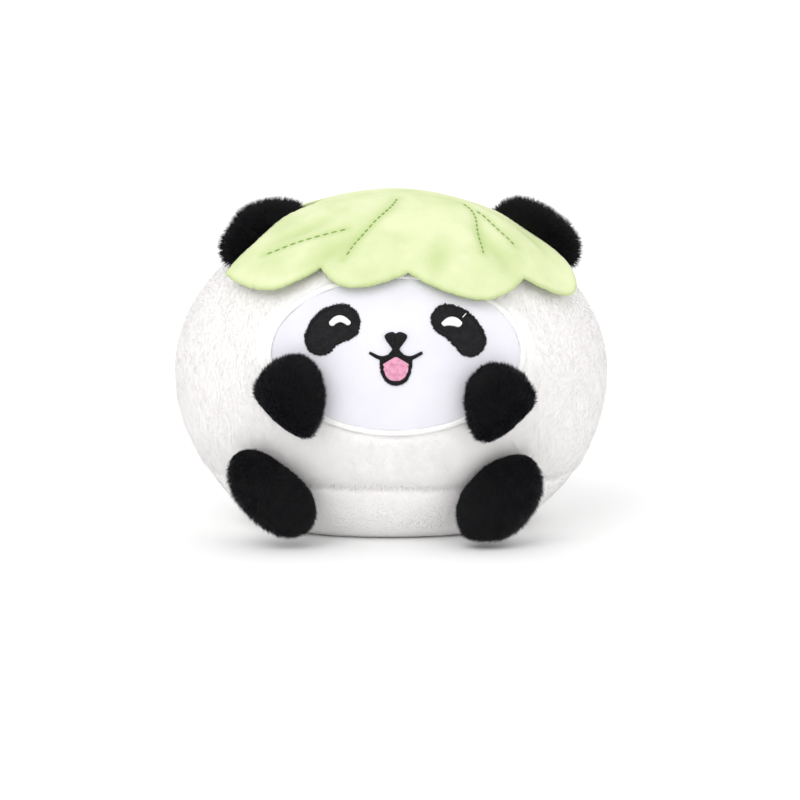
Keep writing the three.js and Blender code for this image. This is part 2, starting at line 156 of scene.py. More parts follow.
def evenly(path: Array, pitch: float, closed: bool) -> tuple[Array, Array]:
    """Points at an even pitch along a path, with the direction across it.

    Args:
        path: the path's points, (n, 2).
        pitch: distance between points, in millimetres.
        closed: whether the last point joins the first.

    Returns:
        The points and, at each, the unit vector to the path's left.
    """
    ring = np.vstack([path, path[:1]]) if closed else path
    run = np.concatenate([[0], np.cumsum(np.linalg.norm(np.diff(ring, axis=0), axis=1))])
    count = max(3, round(run[-1] / pitch))
    at = np.linspace(0, run[-1], count, endpoint=not closed)
    step = run[-1] * 1e-3
    place = np.stack([np.interp(at, run, ring[:, k]) for k in (0, 1)], axis=1)
    ends = [(at + s) % run[-1] if closed else np.clip(at + s, 0, run[-1]) for s in (-step, step)]
    low, high = (np.stack([np.interp(e, run, ring[:, k]) for k in (0, 1)], axis=1) for e in ends)
    along = normalised(high - low)
    return place, np.stack([-along[:, 1], along[:, 0]], axis=1)


@dataclass(frozen=True)
class Bean:
    """A bean: a round nib swept along a bowed line while its radius changes.

    Args:
        start: middle of one end.
        end: middle of the other end.
        radii: the radius at the start and at the end.
        bow: how far the line's middle stands to the left of the straight way.
        swell: what the radius gains halfway.
    """

    start: Pair
    end: Pair
    radii: Pair
    bow: float
    swell: float = 0.0

    def loop(self) -> Array:
        """Returns the closed outline: both sides of the line, joined by half circles at its ends."""
        t = np.linspace(0, 1, 40)
        start, end = np.array(self.start), np.array(self.end)
        left = normalised(np.array([start[1] - end[1], end[0] - start[0]]))
        arch = 4 * t * (1 - t)
        line = start + t[:, None] * (end - start) + (self.bow * arch)[:, None] * left
        radius = self.radii[0] + t * (self.radii[1] - self.radii[0]) + self.swell * arch
        heading = normalised(np.gradient(line, axis=0))
        side = np.stack([-heading[:, 1], heading[:, 0]], axis=1)
        turn = np.linspace(0, np.pi, 22)[1:-1, None]
        far = line[-1] + radius[-1] * (side[-1] * np.cos(turn) + heading[-1] * np.sin(turn))
        near = line[0] - radius[0] * (side[0] * np.cos(turn) + heading[0] * np.sin(turn))
        return np.vstack([line + side * radius[:, None], far, (line - side * radius[:, None])[::-1], near])


@dataclass(frozen=True)
class PodShape:
    """A limb's outline: an egg with its own fullness above and below its widest line.

    Args:
        half_width: half its width on the widest line.
        widest: height of the widest line over the limb's origin.
        tip: height of the free end.
        root: height of the sewn end.
        fullness: powers of the curve above and below, 2 for an ellipse and more for a squarer end.
        shift: how far the widest line's middle stands to the side.
        lean: sideways lean for each millimetre of height.
    """

    half_width: float
    widest: float
    tip: float
    root: float
    fullness: Pair = (2.0, 2.0)
    shift: float = 0.0
    lean: float = 0.0

    def loop(self) -> Array:
        """Returns the closed outline, |x / width|^n + |y / reach|^n = 1 on each side of the widest line."""
        turn = np.linspace(0, 2 * np.pi, 400, endpoint=False)
        up = np.sin(turn) >= 0
        power = np.where(up, self.fullness[0], self.fullness[1])
        reach = np.where(up, self.tip - self.widest, self.widest - self.root)
        across = self.half_width * np.sign(np.cos(turn)) * np.abs(np.cos(turn)) ** (2 / power)
        along = reach * np.sign(np.sin(turn)) * np.abs(np.sin(turn)) ** (2 / power)
        return np.stack([across + self.shift + self.lean * along, along + self.widest], axis=1)


def inside(points: Array, loop: Array) -> Array:
    """Returns which points lie in a loop, by counting the loop's edges to the right of each."""
    a, b = loop[None], np.roll(loop, -1, axis=0)[None]
    x, y = points[:, None, 0], points[:, None, 1]
    crosses = (a[..., 1] > y) != (b[..., 1] > y)
    rise = np.where(b[..., 1] == a[..., 1], 1e-12, b[..., 1] - a[..., 1])
    return (crosses & (x < a[..., 0] + (y - a[..., 1]) / rise * (b[..., 0] - a[..., 0]))).sum(1) % 2 == 1


def distance(points: Array, loops: Sequence[Array]) -> Array:
    """Returns each point's distance from the nearest edge of the loops."""
    nearest = np.full(len(points), np.inf)
    for loop in loops:
        a, run = loop[None], (np.roll(loop, -1, axis=0) - loop)[None]
        share = ((points[:, None] - a) * run).sum(-1) / np.maximum((run * run).sum(-1), 1e-12)
        gap = points[:, None] - a - np.clip(share, 0, 1)[..., None] * run
        nearest = np.minimum(nearest, np.linalg.norm(gap, axis=-1).min(1))
    return nearest


def anticlockwise(loop: Array) -> Array:
    """Returns a loop, reversed if it runs clockwise, which its signed area tells."""
    after = np.roll(loop, -1, axis=0)
    clockwise = (loop[:, 0] * after[:, 1] - after[:, 0] * loop[:, 1]).sum() < 0
    return loop[::-1] if clockwise else loop


def ring_quads(rings: int, around: int) -> Array:
    """Returns the quads that join rings of points, each ring closed on itself."""
    ring, spot = np.meshgrid(np.arange(rings - 1), np.arange(around), indexing="ij")
    a, b = ring * around + spot, ring * around + (spot + 1) % around
    return np.stack([a, a + around, b + around, b], axis=-1).reshape(-1, 4)


def triangle_crosses(points: Array, triangles: Array) -> Array:
    """Returns each triangle's outward vector, as long as twice its area."""
    corners = points[triangles]
    return np.cross(corners[:, 1] - corners[:, 0], corners[:, 2] - corners[:, 0])


# ---- Finishes ------------------------------------------------------------------------------------------


class Socket(Enum):
    """The shader's own sockets that a finish sets to one value all over."""

    COLOUR = "Base Color"
    ROUGHNESS = "Roughness"
    SHEEN = "Sheen Weight"
    SHEEN_ROUGHNESS = "Sheen Roughness"
    SHEEN_TINT = "Sheen Tint"
    SPECULAR = "Specular IOR Level"
    NORMAL = "Normal"


def new_material(name: str, values: dict[Socket, object]) -> bpy.types.Material:
    """Returns a new material, with some of its shader's sockets set to one value all over."""
    mat = bpy.data.materials.new(name)
    mat.use_nodes = True
    shader = mat.node_tree.nodes["Principled BSDF"]
    for socket, value in values.items():
        shader.inputs[socket.value].default_value = value
    return mat


def add_node(mat: bpy.types.Material, kind: str, **values: object) -> bpy.types.Node:
    """Returns a node added to a material, with its named inputs set."""
    node = mat.node_tree.nodes.new(f"ShaderNode{kind}")
    for name, value in values.items():
        node.inputs[name].default_value = value
    return node


@dataclass(frozen=True)
class ClothFinish:
    """A cloth whose colour drifts between two shades, with a nap too fine to model as fibres.

    Args:
        name: the material's name.
        shade: the darker colour, in display values.
        light: the lighter colour.
        drift: size of the colour's patches, in metres.
        nap: size of the bumps, in metres.
        depth: height of the bumps, in metres.
        sheen: strength of the soft light at the edges of the form.
        roughness: how dull the fibres are.
        mask: name of a vertex attribute of painted shade that pulls the colour to the darker shade, or
            nothing.
        spread: the noise values that give the darker and the lighter colour.
    """

    name: str
    shade: Shade
    light: Shade
    drift: float = 0.006
    nap: float = 0.0004
    depth: float = 0.0001
    sheen: float = 0.3
    roughness: float = 0.9
    mask: str = ""
    spread: Pair = (0.3, 0.7)

    def material(self) -> bpy.types.Material:
        """Returns the material, made once: drifting colour, plus a bump from fine noise."""
        name = f"{self.name}_finish"
        if (made := bpy.data.materials.get(name)) is not None:
            return made
        sockets = {Socket.ROUGHNESS: self.roughness, Socket.SHEEN: self.sheen}
        mat = new_material(name, sockets | {Socket.SHEEN_ROUGHNESS: 0.5, Socket.SPECULAR: 0.2})
        links = mat.node_tree.links
        shader = mat.node_tree.nodes["Principled BSDF"]
        place = add_node(mat, "TexCoord").outputs["Object"]
        drift = add_node(mat, "TexNoise", Scale=1 / self.drift, Detail=4)
        fine = add_node(mat, "TexNoise", Scale=1 / self.nap, Detail=3)
        bump = add_node(mat, "Bump", Distance=self.depth, Strength=0.8)
        ramp = add_node(mat, "ValToRGB")
        for stop, at, shade in zip(ramp.color_ramp.elements, self.spread, (self.shade, self.light)):
            stop.position = at
            stop.color = linear(*shade)
        links.new(place, drift.inputs["Vector"])
        links.new(place, fine.inputs["Vector"])
        links.new(fine.outputs["Fac"], bump.inputs["Height"])
        links.new(bump.outputs["Normal"], shader.inputs[Socket.NORMAL.value])
        links.new(drift.outputs["Fac"], ramp.inputs["Fac"])
        colour = ramp.outputs["Color"]
        # The mask paints shade: where it is high, the colour is pulled to the darker shade.
        if self.mask:
            mask = add_node(mat, "Attribute")
            mask.attribute_name = self.mask
            mix = add_node(mat, "Mix")
            mix.data_type = "RGBA"
            mix.inputs["B"].default_value = linear(*self.shade)
            links.new(mask.outputs["Fac"], mix.inputs["Factor"])
            links.new(colour, mix.inputs["A"])
            colour = mix.outputs["Result"]
        links.new(colour, shader.inputs[Socket.COLOUR.value])
        return mat


@dataclass(frozen=True)
class FibreFinish:
    """The loose fibres of a pile: one plain colour for the roots, darker than the tips as painted shade low
    in the pile, and a few random shades for the tips.

    Args:
        name: the start of the materials' names.
        root: colour of the fibres' roots, in display values, darker than the tips as painted shade low in the
            pile.
        tips: colours of the tips.
        sheen: strength of the soft light at the fibres' edges.
        roughness: how dull the fibres are.
        specular: strength of the plain reflection.
        tint: colour of the sheen.
    """

    name: str
    root: Shade
    tips: tuple[Shade, ...]
    sheen: float = 0.2
    roughness: float = 0.8
    specular: float = 0.2
    tint: Shade = (255, 255, 255)

    def materials(self) -> list[bpy.types.Material]:
        """Returns one material for the roots and one for each shade of tip, made once."""
        made = []
        for i, colour in enumerate((self.root, *self.tips)):
            name = f"{self.name}_{i}"
            mat = bpy.data.materials.get(name)
            if mat is None:
                mat = new_material(name, {
                    Socket.COLOUR: linear(*colour),
                    Socket.ROUGHNESS: self.roughness,
                    Socket.SHEEN: self.sheen,
                    Socket.SHEEN_ROUGHNESS: 0.4,
                    Socket.SHEEN_TINT: linear(*self.tint),
                    Socket.SPECULAR: self.specular,
                })
            made.append(mat)
        return made


def thread_finish(name: str, shade: Shade, light: Shade, roughness: float, sheen: float = 0.1) -> ClothFinish:
    """Returns the finish of an embroidery thread, with colour patches and a nap finer than a cloth's."""
    return ClothFinish(name, shade, light, 0.002, 0.00012, 0.00002, sheen, roughness)


WHITE_BACKING = ClothFinish("white_plush_backing", (250, 248, 247), (254, 253, 252), sheen=0.3)
# A fibre finish's root colour is painted shade low in the pile; its tip colours differ at random.
WHITE_FIBRE = FibreFinish(
    "white_plush_fibre", (252, 250, 249), ((254, 252, 251), (255, 254, 252), (252, 250, 250)), sheen=0.3
)
BLACK_BACKING = ClothFinish("black_plush_backing", (4, 4, 6), (9, 9, 12), sheen=0.05)
BLACK_FIBRE = FibreFinish(
    "black_plush_fibre",
    (3, 3, 5),
    ((5, 5, 8), (8, 8, 12), (13, 13, 18)),
    sheen=0.05,
    roughness=0.55,
    specular=0.18,
    tint=(190, 200, 235),
)
VELVET = ClothFinish(
    "white_velvet", (223, 222, 230), (230, 229, 236), drift=0.012, nap=0.0003, depth=0.00006, sheen=0.25
)
WHITE_SATIN = thread_finish("white_satin_thread", (247, 247, 247), (255, 254, 252), 0.45)
BLACK_SATIN = thread_finish("black_satin_thread", (5, 5, 6), (14, 14, 17), 0.5)
PINK_THREAD = thread_finish("pink_thread", (224, 152, 182), (236, 176, 201), 0.55, 0.2)
LEAF_THREAD = thread_finish("leaf_thread", (112, 144, 64), (138, 168, 88), 0.6)
BLACK_FELT = ClothFinish(
    "black_felt", (22, 22, 24), (36, 36, 39), drift=0.0015, nap=0.0002, depth=0.00006, sheen=0.15,
    roughness=0.85,
)
FELT_FIBRE = FibreFinish(
    "black_felt_fibre", (10, 10, 12), ((14, 14, 16), (20, 20, 23), (28, 28, 31)), sheen=0.05
)
# The leaf's mask is painted shade along the veins' valleys, in the soft folds, at the rim and on the
# underside.
LEAF_CLOTH = ClothFinish(
    "leaf_cloth", (184, 203, 136), (221, 228, 184), drift=0.012, nap=0.00035, depth=0.00015, sheen=0.1,
    mask="painted_fold_shade", spread=(-0.1, 0.62),
)


# ---- Meshes --------------------------------------------------------------------------------------------


def make_piece(
    name: str,
    points: Array,
    faces: Faces,
    materials: Sequence[bpy.types.Material],
    slots: Array | None = None,
    normals: Array | None = None,
) -> bpy.types.Object:
    """Puts whole arrays of points and faces into one smooth mesh object.

    Args:
        name: the piece's name.
        points: vertices in millimetres, (n, 3).
        faces: arrays of triangles (k, 3) or quads (k, 4), all facing outwards.
        materials: the piece's finishes, one per slot.
        slots: the slot of each face, in order, or nothing for the first slot.
        normals: a shading normal for each vertex, or nothing for the mesh's own.

    Returns:
        The new object, at the origin.
    """
    mesh = bpy.data.meshes.new(name)
    mesh.vertices.add(len(points))
    mesh.vertices.foreach_set("co", (points * MM).astype(np.float32).ravel())
    corners = np.concatenate([f.ravel() for f in faces]).astype(np.int32)
    counts = np.concatenate([np.full(len(f), f.shape[1]) for f in faces])
    mesh.loops.add(len(corners))
    mesh.loops.foreach_set("vertex_index", corners)
    mesh.polygons.add(len(counts))
    mesh.polygons.foreach_set("loop_start", (np.cumsum(counts) - counts).astype(np.int32))
    mesh.polygons.foreach_set("use_smooth", np.ones(len(counts), bool))
    for material in materials:
        mesh.materials.append(material)
    if slots is not None:
        mesh.polygons.foreach_set("material_index", slots.astype(np.int32))
    mesh.update(calc_edges=True)
    if normals is not None:
        mesh.normals_split_custom_set_from_vertices(normals.tolist())
    piece = bpy.data.objects.new(name, mesh)
    bpy.context.collection.objects.link(piece)
    return piece


def put_attribute(piece: bpy.types.Object, name: str, values: Array) -> None:
    """Stores one number per vertex under a name that a finish can read."""
    layer = piece.data.attributes.new(name, "FLOAT", "POINT")
    layer.data.foreach_set("value", values.astype(np.float32))


def outward(piece: bpy.types.Object) -> bpy.types.Object:
    """Turns a closed piece's faces outwards if they point inwards, which its signed volume tells."""
    mesh = piece.data
    mesh.calc_loop_triangles()
    corners = np.empty(len(mesh.loop_triangles) * 3, np.int32)
    mesh.loop_triangles.foreach_get("vertices", corners)
    places = np.empty(len(mesh.vertices) * 3, np.float32)
    mesh.vertices.foreach_get("co", places)
    a, b, c = places.reshape(-1, 3)[corners.reshape(-1, 3)].transpose(1, 0, 2)
    if (np.cross(a, b) * c).sum() < 0:
        mesh.flip_normals()
    return piece


@dataclass
class Pattern:
    """A flat cutting pattern, cut into even triangles.

    Args:
        points: the pattern's points, (n, 2), in millimetres.
        triangles: rows of three points, anticlockwise.
        edge: each point's distance from the pattern's outline.
    """

    points: Array
    triangles: Array
    edge: Array

    @classmethod
    def cut(cls, outline: Array, holes: Sequence[Array], pitch: float) -> "Pattern":
        """Fills an outline with a lattice of even triangles, leaving its holes open.

        Args:
            outline: the outer loop, (n, 2).
            holes: loops to leave open.
            pitch: the triangles' side, in millimetres.

        Returns:
            The pattern: the loops' own points and a hexagonal lattice between them, joined by the
            constrained Delaunay rule.
        """
        loops = [outline, *holes]
        low, high = outline.min(0), outline.max(0)
        rows = np.arange(low[1], high[1], pitch * math.sqrt(0.75))
        x, y = np.meshgrid(np.arange(low[0], high[0], pitch), rows)
        x = x + (np.arange(len(rows)) % 2)[:, None] * pitch / 2
        lattice = np.stack([x.ravel(), y.ravel()], axis=1)
        lattice = lattice[inside(lattice, outline)]
        for hole in holes:
            lattice = lattice[~inside(lattice, hole)]
        lattice = lattice[distance(lattice, loops) > pitch * 0.55]
        starts = np.cumsum([0] + [len(loop) for loop in loops])
        runs = [(start, np.arange(len(loop))) for start, loop in zip(starts, loops)]
        edges = np.vstack([start + np.stack([k, np.roll(k, -1)], 1) for start, k in runs])
        everything = np.vstack([*loops, lattice])
        found = geometry.delaunay_2d_cdt(everything.tolist(), edges.tolist(), [], 0, 1e-7)
        points, triangles = np.array([tuple(v) for v in found[0]]), np.array(found[2])
        middle = points[triangles].mean(1)
        keep = inside(middle, outline)
        for hole in holes:
            keep &= ~inside(middle, hole)
        return cls(points, triangles[keep], distance(points, loops))

    def closed(self, top: Array, under: Array) -> tuple[Array, list[Array]]:
        """Makes a closed solid of the pattern from its two faces.

        Args:
            top: a place for each point on the outer face, (n, 3).
            under: a place for each point on the inner face.

        Returns:
            The solid's points and its faces: the top, the underside turned over, and a wall of quads
            round every free edge.
        """
        t = self.triangles
        sides = np.vstack([t[:, [0, 1]], t[:, [1, 2]], t[:, [2, 0]]])
        count = len(self.points)
        twin = np.isin(sides[:, 0] * count + sides[:, 1], sides[:, 1] * count + sides[:, 0])
        a, b = sides[~twin].T
        wall = np.stack([b, a, a + count, b + count], axis=1)
        return np.vstack([top, under]), [t, t[:, ::-1] + count, wall]


@dataclass(frozen=True)
class Pile:
    """Standing fibres, each a narrow strip that bends over: a square foot, and a tapered tip.

    Args:
        length: the fibres' length, in millimetres.
        width: their width at the root.
        density: how many stand on a square millimetre.
        lean: how far a fibre bends over, in degrees, at its tip.
        swirl: how much its direction wanders, in degrees.
        ragged: share by which the lengths vary.
        soft: how much the fibres take their shading from the cloth below, from 0 to 1.
    """

    length: float
    width: float
    density: float
    lean: float = 65.0
    swirl: float = 25.0
    ragged: float = 0.25
    soft: float = 0.75

    def grow(
        self,
        name: str,
        points: Array,
        triangles: Array,
        flow: Flow,
        finish: FibreFinish,
        seed: int,
        trim: Trim | None = None,
    ) -> bpy.types.Object:
        """Grows the pile on a surface.

        Args:
            name: the piece's name.
            points: the surface's vertices.
            triangles: its faces, facing outwards.
            flow: from places and normals, gives the direction that the fibres lie in.
            finish: the fibres' shades.
            seed: fixes every random choice.
            trim: from places, gives each fibre's share of its full length, or nothing.

        Returns:
            The pile as one object. A fibre of length L starts just under the surface, runs 0.5 L along
            cos(0.75 a) n + sin(0.75 a) d and another 0.5 L along the same with 1.05 a, where n is the
            surface's normal, d the lying direction and a the lean.
        """
        rng = np.random.default_rng(seed)
        corners = points[triangles]
        crossed = triangle_crosses(points, triangles)
        area = np.linalg.norm(crossed, axis=1) / 2
        count = int(area.sum() * self.density)
        reach = np.cumsum(area) / area.sum()
        chosen = np.searchsorted(reach, (np.arange(count) + rng.uniform(size=count)) / count)
        chosen = np.clip(chosen, 0, len(triangles) - 1)
        u, v = rng.uniform(size=(2, count))
        u, v = np.where(u + v > 1, 1 - u, u), np.where(u + v > 1, 1 - v, v)
        shares = np.stack([1 - u - v, u, v], axis=1)
        vertex_normals = np.zeros_like(points)
        for k in range(3):
            np.add.at(vertex_normals, triangles[:, k], crossed)
        vertex_normals = normalised(vertex_normals)
        root = (corners[chosen] * shares[..., None]).sum(1)
        normal = normalised((vertex_normals[triangles[chosen]] * shares[..., None]).sum(1))
        lying = flow(root, normal)
        lying = normalised(lying - (lying * normal).sum(1, keepdims=True) * normal)
        wander = rng.normal(0, self.swirl, count) + TUFT_TURN * ripple(root, TUFT_SIZE, seed)
        turn = np.radians(wander)[:, None]
        lying = lying * np.cos(turn) + np.cross(normal, lying) * np.sin(turn)
        across = np.cross(normal, lying)
        length = self.length * (1 + self.ragged * rng.uniform(-1, 1, count))
        length = length * (1 + TUFT_LENGTH * ripple(root, TUFT_SIZE / 2, seed + 1))
        if trim is not None:
            length = length * trim(root)
        keep = length > SHORTEST * self.length
        root, normal, lying, across, length = (a[keep] for a in (root, normal, lying, across, length))
        count, length = len(root), length[:, None]
        tilt = np.radians(self.lean * rng.uniform(0.75, 1.15, count))[:, None]
        half = across * self.width / 2
        root = root - ROOT_DEPTH * normal
        waist = root + length * 0.5 * (np.cos(tilt * 0.75) * normal + np.sin(tilt * 0.75) * lying)
        tip = waist + length * 0.5 * (np.cos(tilt * 1.05) * normal + np.sin(tilt * 1.05) * lying)
        strip = np.stack([root - half, root + half, waist + half * 0.8, waist - half * 0.8, tip], axis=1)
        strip[..., 2] = np.maximum(strip[..., 2], FLOOR_GAP)
        first = np.arange(count)[:, None] * 5
        foot, point = first + np.array([[0, 3, 2, 1]]), first + np.array([[3, 4, 2]])
        facing = np.cross(tip - root, across)
        facing = normalised(facing * np.sign((facing * normal).sum(1, keepdims=True)))
        shaded = normalised(normal * self.soft + facing * (1 - self.soft))
        # Half the fibres' lower parts take the root colour, painted shade low in the pile; every tip takes
        # one of the tip colours at random.
        shades = rng.integers(1, 1 + len(finish.tips), count)
        slots = np.concatenate([np.where(rng.uniform(size=count) < 0.5, 0, shades), shades])
        normals = np.repeat(shaded, 5, axis=0)
        return make_piece(name, strip.reshape(-1, 3), [foot, point], finish.materials(), slots, normals)

    def grow_halves(
        self, name: str, points: Array, triangles: Array, *rest: object
    ) -> list[bpy.types.Object]:
        """Grows the pile as two pieces, one on each side of the middle, with the arguments of grow."""
        right = points[triangles][..., 0].mean(1) < 0
        return [
            self.grow(f"{name}_{half}", points, triangles[chosen], *rest)
            for half, chosen in (("right", right), ("left", ~right))
        ]


# ---- The body's surface --------------------------------------------------------------------------------


@dataclass(frozen=True)
class Bun:
    """The bun-shaped body that everything is sewn to. Sizes are in millimetres."""

    half_width: float = 56.2
    half_depth: float = 44.0
    widest: float = 38.9
    crown: float = 44.8
    drop: float = 49.0
    lumps: float = 0.35

    def sizes(self, direction: Array) -> Array:
        """Returns the three half sizes that hold on a direction's side of the widest level."""
        height = np.where(direction[..., 2] > 0, self.crown, self.drop)
        flat = (np.full_like(height, size) for size in (self.half_width, self.half_depth))
        return np.stack([*flat, height], axis=-1)

    def normal(self, direction: Array) -> Array:
        """Returns the outward normal where the surface is in a unit direction: its gradient."""
        return normalised(direction / self.sizes(direction))

    def place(self, direction: Array, grow: Array | float = 0.0) -> Array:
        """Places points on the bun.

        Args:
            direction: unit directions in the bun's own round space, (..., 3).
            grow: height above the cloth along the normal, one value or one per point.

        Returns:
            The places: each direction is stretched to the three half sizes, with the upper or the lower
            height, moved out by grow and a little soft lumpiness, and levelled off smoothly at the floor.
        """
        point = direction * self.sizes(direction) + [0.0, SETBACK, self.widest]
        lump = self.lumps * ripple(point, 30.0, 5)
        point = point + self.normal(direction) * (np.asarray(grow) + lump)[..., None]
        point[..., 2] = (point[..., 2] + np.sqrt(point[..., 2] ** 2 + 0.5)) / 2
        return point

    def facing(self, x: Array, z: Array) -> Array:
        """Returns the unit directions of the front at x and z."""
        height = np.where(z > self.widest, self.crown, self.drop)
        across, up = x / self.half_width, (z - self.widest) / height
        return np.stack([across, -np.sqrt(np.maximum(1 - across**2 - up**2, 1e-6)), up], axis=-1)

    def front(self, x: Array, z: Array, grow: Array | float = 0.0) -> Array:
        """Returns the places on the front at x and z, grown by a height."""
        return self.place(self.facing(x, z), grow)

    def dome(self, azimuth: Array, polar: Array) -> Array:
        """Returns the unit directions at an azimuth from the front and a polar angle, in degrees."""
        a, p = np.radians(azimuth), np.radians(polar)
        return np.stack([np.sin(p) * np.sin(a), -np.sin(p) * np.cos(a), np.cos(p) + 0 * a], axis=-1)


BUN = Bun()


class Pole(Enum):
    """The side of the bun that a cutting pattern is laid out from."""

    FRONT = "front"
    BACK = "back"
    BASE = "base"
    CROWN = "crown"


@dataclass(frozen=True)
class Chart:
    """Lays the bun out flat round a pole: distance from the pole is 50 mm per radian."""

    pole: Pole
    scale: float = PATTERN_SCALE

    def axes(self) -> Array:
        """Returns the rows right, up and outwards of the chart, as unit directions."""
        rows = {
            Pole.FRONT: [(1, 0, 0), (0, 0, 1), (0, -1, 0)],
            Pole.BACK: [(-1, 0, 0), (0, 0, 1), (0, 1, 0)],
            Pole.BASE: [(1, 0, 0), (0, 1, 0), (0, 0, -1)],
            Pole.CROWN: [(1, 0, 0), (0, 1, 0), (0, 0, 1)],
        }
        return np.array(rows[self.pole], float)

    def lift(self, flat: Array) -> Array:
        """Returns the unit directions of flat points: the angle from the pole is radius over scale."""
        radius = np.linalg.norm(flat, axis=-1, keepdims=True)
        angle = radius / self.scale
        flat_unit = flat / np.maximum(radius, 1e-9)
        return np.concatenate([np.sin(angle) * flat_unit, np.cos(angle)], axis=-1) @ self.axes()

    def flatten(self, direction: Array) -> Array:
        """Returns the flat points of unit directions, the reverse of lift."""
        local = direction @ self.axes().T
        angle = np.arccos(np.clip(local[..., 2:], -1, 1))
        return normalised(local[..., :2]) * angle * self.scale


def downhill(points: Array, normals: Array) -> Array:
    """Returns the way that fibres lie on the body: down, and slightly away from the middle of the face.

    A trace of the normal's cross product keeps a way to lie where the cloth faces straight down.
    """
    fall = np.tile([0.0, 0.0, -1.0], (len(points), 1))
    fall[:, 0] += 0.25 * np.sign(points[:, 0])
    return fall + 1e-3 * np.cross(normals, [0.3, 0.2, 0.1])


def fringed(points: Array, normals: Array) -> Array:
    """Returns the way the base's pile lies: downhill on its wall, turning outwards at the floor."""
    out = normalised(points * [1.0, 1.0, 0.0])
    share = blend(4.5, 1.5, points[:, 2])[:, None]
    return downhill(points, normals) * (1 - share) + out * share


def brushed_down(points: Array, normals: Array) -> Array:
    """Returns the way felt's nap is brushed, down and a little aside, the same at every point."""
    return np.tile([0.3, 0.0, -1.0], (len(points), 1))


# ---- The body's cloth ----------------------------------------------------------------------------------



@dataclass
class BodyCloth:
    """The plush panels of the body and the velvet panel let into its front."""

    seam_z: float = 14.5
    side_seam_y: float = 6.0
    face_middle: Pair = (1.4, 48.2)
    face_half: Pair = (30.9, 18.6)
    thickness: float = 1.3
    seam_gap: float = 0.06
    seam_dip: float = 0.42
    seam_reach: float = 2.4
    settle: float = 0.55
    front_pitch: float = 1.7
    back_pitch: float = 1.9
    face_pitch: float = 0.8
    pucker: float = 0.10
    pile: Pile = Pile(1.3, 0.15, 9.5, lean=79, swirl=26, ragged=0.3, soft=1.0)
    fluff: Pile = Pile(2.4, 0.17, 8.2, lean=54, swirl=48, ragged=0.55, soft=0.8)
    seed: int = 11

    def rounded(self, edge: Array) -> Array:
        """Returns how far the cloth sinks towards a seam: a quarter round over the last few millimetres."""
        share = np.clip(1 - edge / self.seam_reach, 0, 1)
        return -self.seam_dip * (1 - np.sqrt(np.maximum(1 - share**2, 0)))

    def face_loop(self, shrink: float, count: int = 150) -> Array:
        """Returns the oval round the face in x and z, made smaller by shrink."""
        turn = np.linspace(0, 2 * np.pi, count, endpoint=False)
        x = self.face_middle[0] + (self.face_half[0] - shrink) * np.cos(turn)
        return np.stack([x, self.face_middle[1] + (self.face_half[1] - shrink) * np.sin(turn)], axis=1)

    def seam_up(self, side: int) -> float:
        """Returns the base seam's height on the round bun, a gap above it for side 1, below for -1."""
        return (self.seam_z + side * self.seam_gap - BUN.widest) / BUN.drop

    def corner(self, depth: float, up: float) -> Pair:
        """Returns where the side and base seams meet: the angle along the side, then round the base."""
        low = math.asin(up / math.sqrt(1 - depth * depth))
        reach = math.acos(-depth / math.sqrt(1 - up * up))
        return math.degrees(low), math.degrees(reach)

    def base_ring(self, low: float, high: float, count: int, up: float) -> Array:
        """Returns unit directions round the base seam between two azimuths, in degrees from the front."""
        turn = np.radians(np.linspace(low, high, count))
        flat = math.sqrt(1 - up * up)
        return np.stack([flat * np.sin(turn), -flat * np.cos(turn), np.full(count, up)], axis=1)

    def side_arc(self, depth: float, low: float, high: float, count: int) -> Array:
        """Returns unit directions along the side seam, from one angle to another above the right side."""
        turn = np.radians(np.linspace(low, high, count))
        round_ = math.sqrt(1 - depth * depth)
        return np.stack([round_ * np.cos(turn), np.full(count, depth), round_ * np.sin(turn)], axis=1)

    def front_outline(self, chart: Chart) -> Array:
        """Returns the front panel's outline: over the crown along the side seam, back along the base."""
        depth = (self.side_seam_y - self.seam_gap) / BUN.half_depth
        up = self.seam_up(1)
        low, reach = self.corner(depth, up)
        arc = self.side_arc(depth, low, 180 - low, 150)
        ring = self.base_ring(-reach, reach, 90, up)[1:-1]
        return chart.flatten(np.vstack([arc, ring]))

    def back_outline(self, chart: Chart, side: int) -> Array:
        """Returns a back panel's outline, side 1 for +X: the middle seam, the side seam and the base."""
        depth = (self.side_seam_y + self.seam_gap) / BUN.half_depth
        up = self.seam_up(1)
        low, reach = self.corner(depth, up)
        gap = self.seam_gap / BUN.half_width
        top = math.degrees(math.acos(gap / math.sqrt(1 - depth * depth)))
        arc = self.side_arc(depth, low, top, 90)
        middle_low = math.degrees(math.atan2(up, math.sqrt(1 - up * up - gap * gap)))
        middle_high = math.degrees(math.acos(depth / math.sqrt(1 - gap * gap)))
        turn = np.radians(np.linspace(middle_high, middle_low, 70))[1:-1]
        spine = math.sqrt(1 - gap * gap) * np.stack([0 * turn, np.cos(turn), np.sin(turn)], axis=1)
        spine[:, 0] = gap
        last = 180 - math.degrees(math.asin(gap / math.sqrt(1 - up * up)))
        ring = self.base_ring(last, reach, 60, up)[:-1]
        whole = np.vstack([arc, spine, ring])
        whole[:, 0] *= side
        return chart.flatten(whole)

    def pile_length(self, points: Array) -> Array:
        """Returns how long the pile stands: short by the face and under the leaf, long at the floor."""
        x = (points[:, 0] - self.face_middle[0]) / (self.face_half[0] + 0.9)
        z = (points[:, 2] - self.face_middle[1]) / (self.face_half[1] + 0.9)
        from_face = (np.hypot(x, z) - 1) * 22
        from_face = np.where(points[:, 1] < 0, from_face, 9.0)
        beside = 0.35 + 0.65 * blend(0, 2.5, from_face)
        under_leaf = 1 - 0.45 * blend(70, 74, points[:, 2])
        at_seam = 1 + 0.6 * np.exp(-(((points[:, 2] - self.seam_z - 0.8) / 1.6) ** 2))
        at_floor = 1 + 0.7 * np.exp(-(((points[:, 2] - 1.8) / 1.8) ** 2))
        return beside * under_leaf * at_seam * at_floor

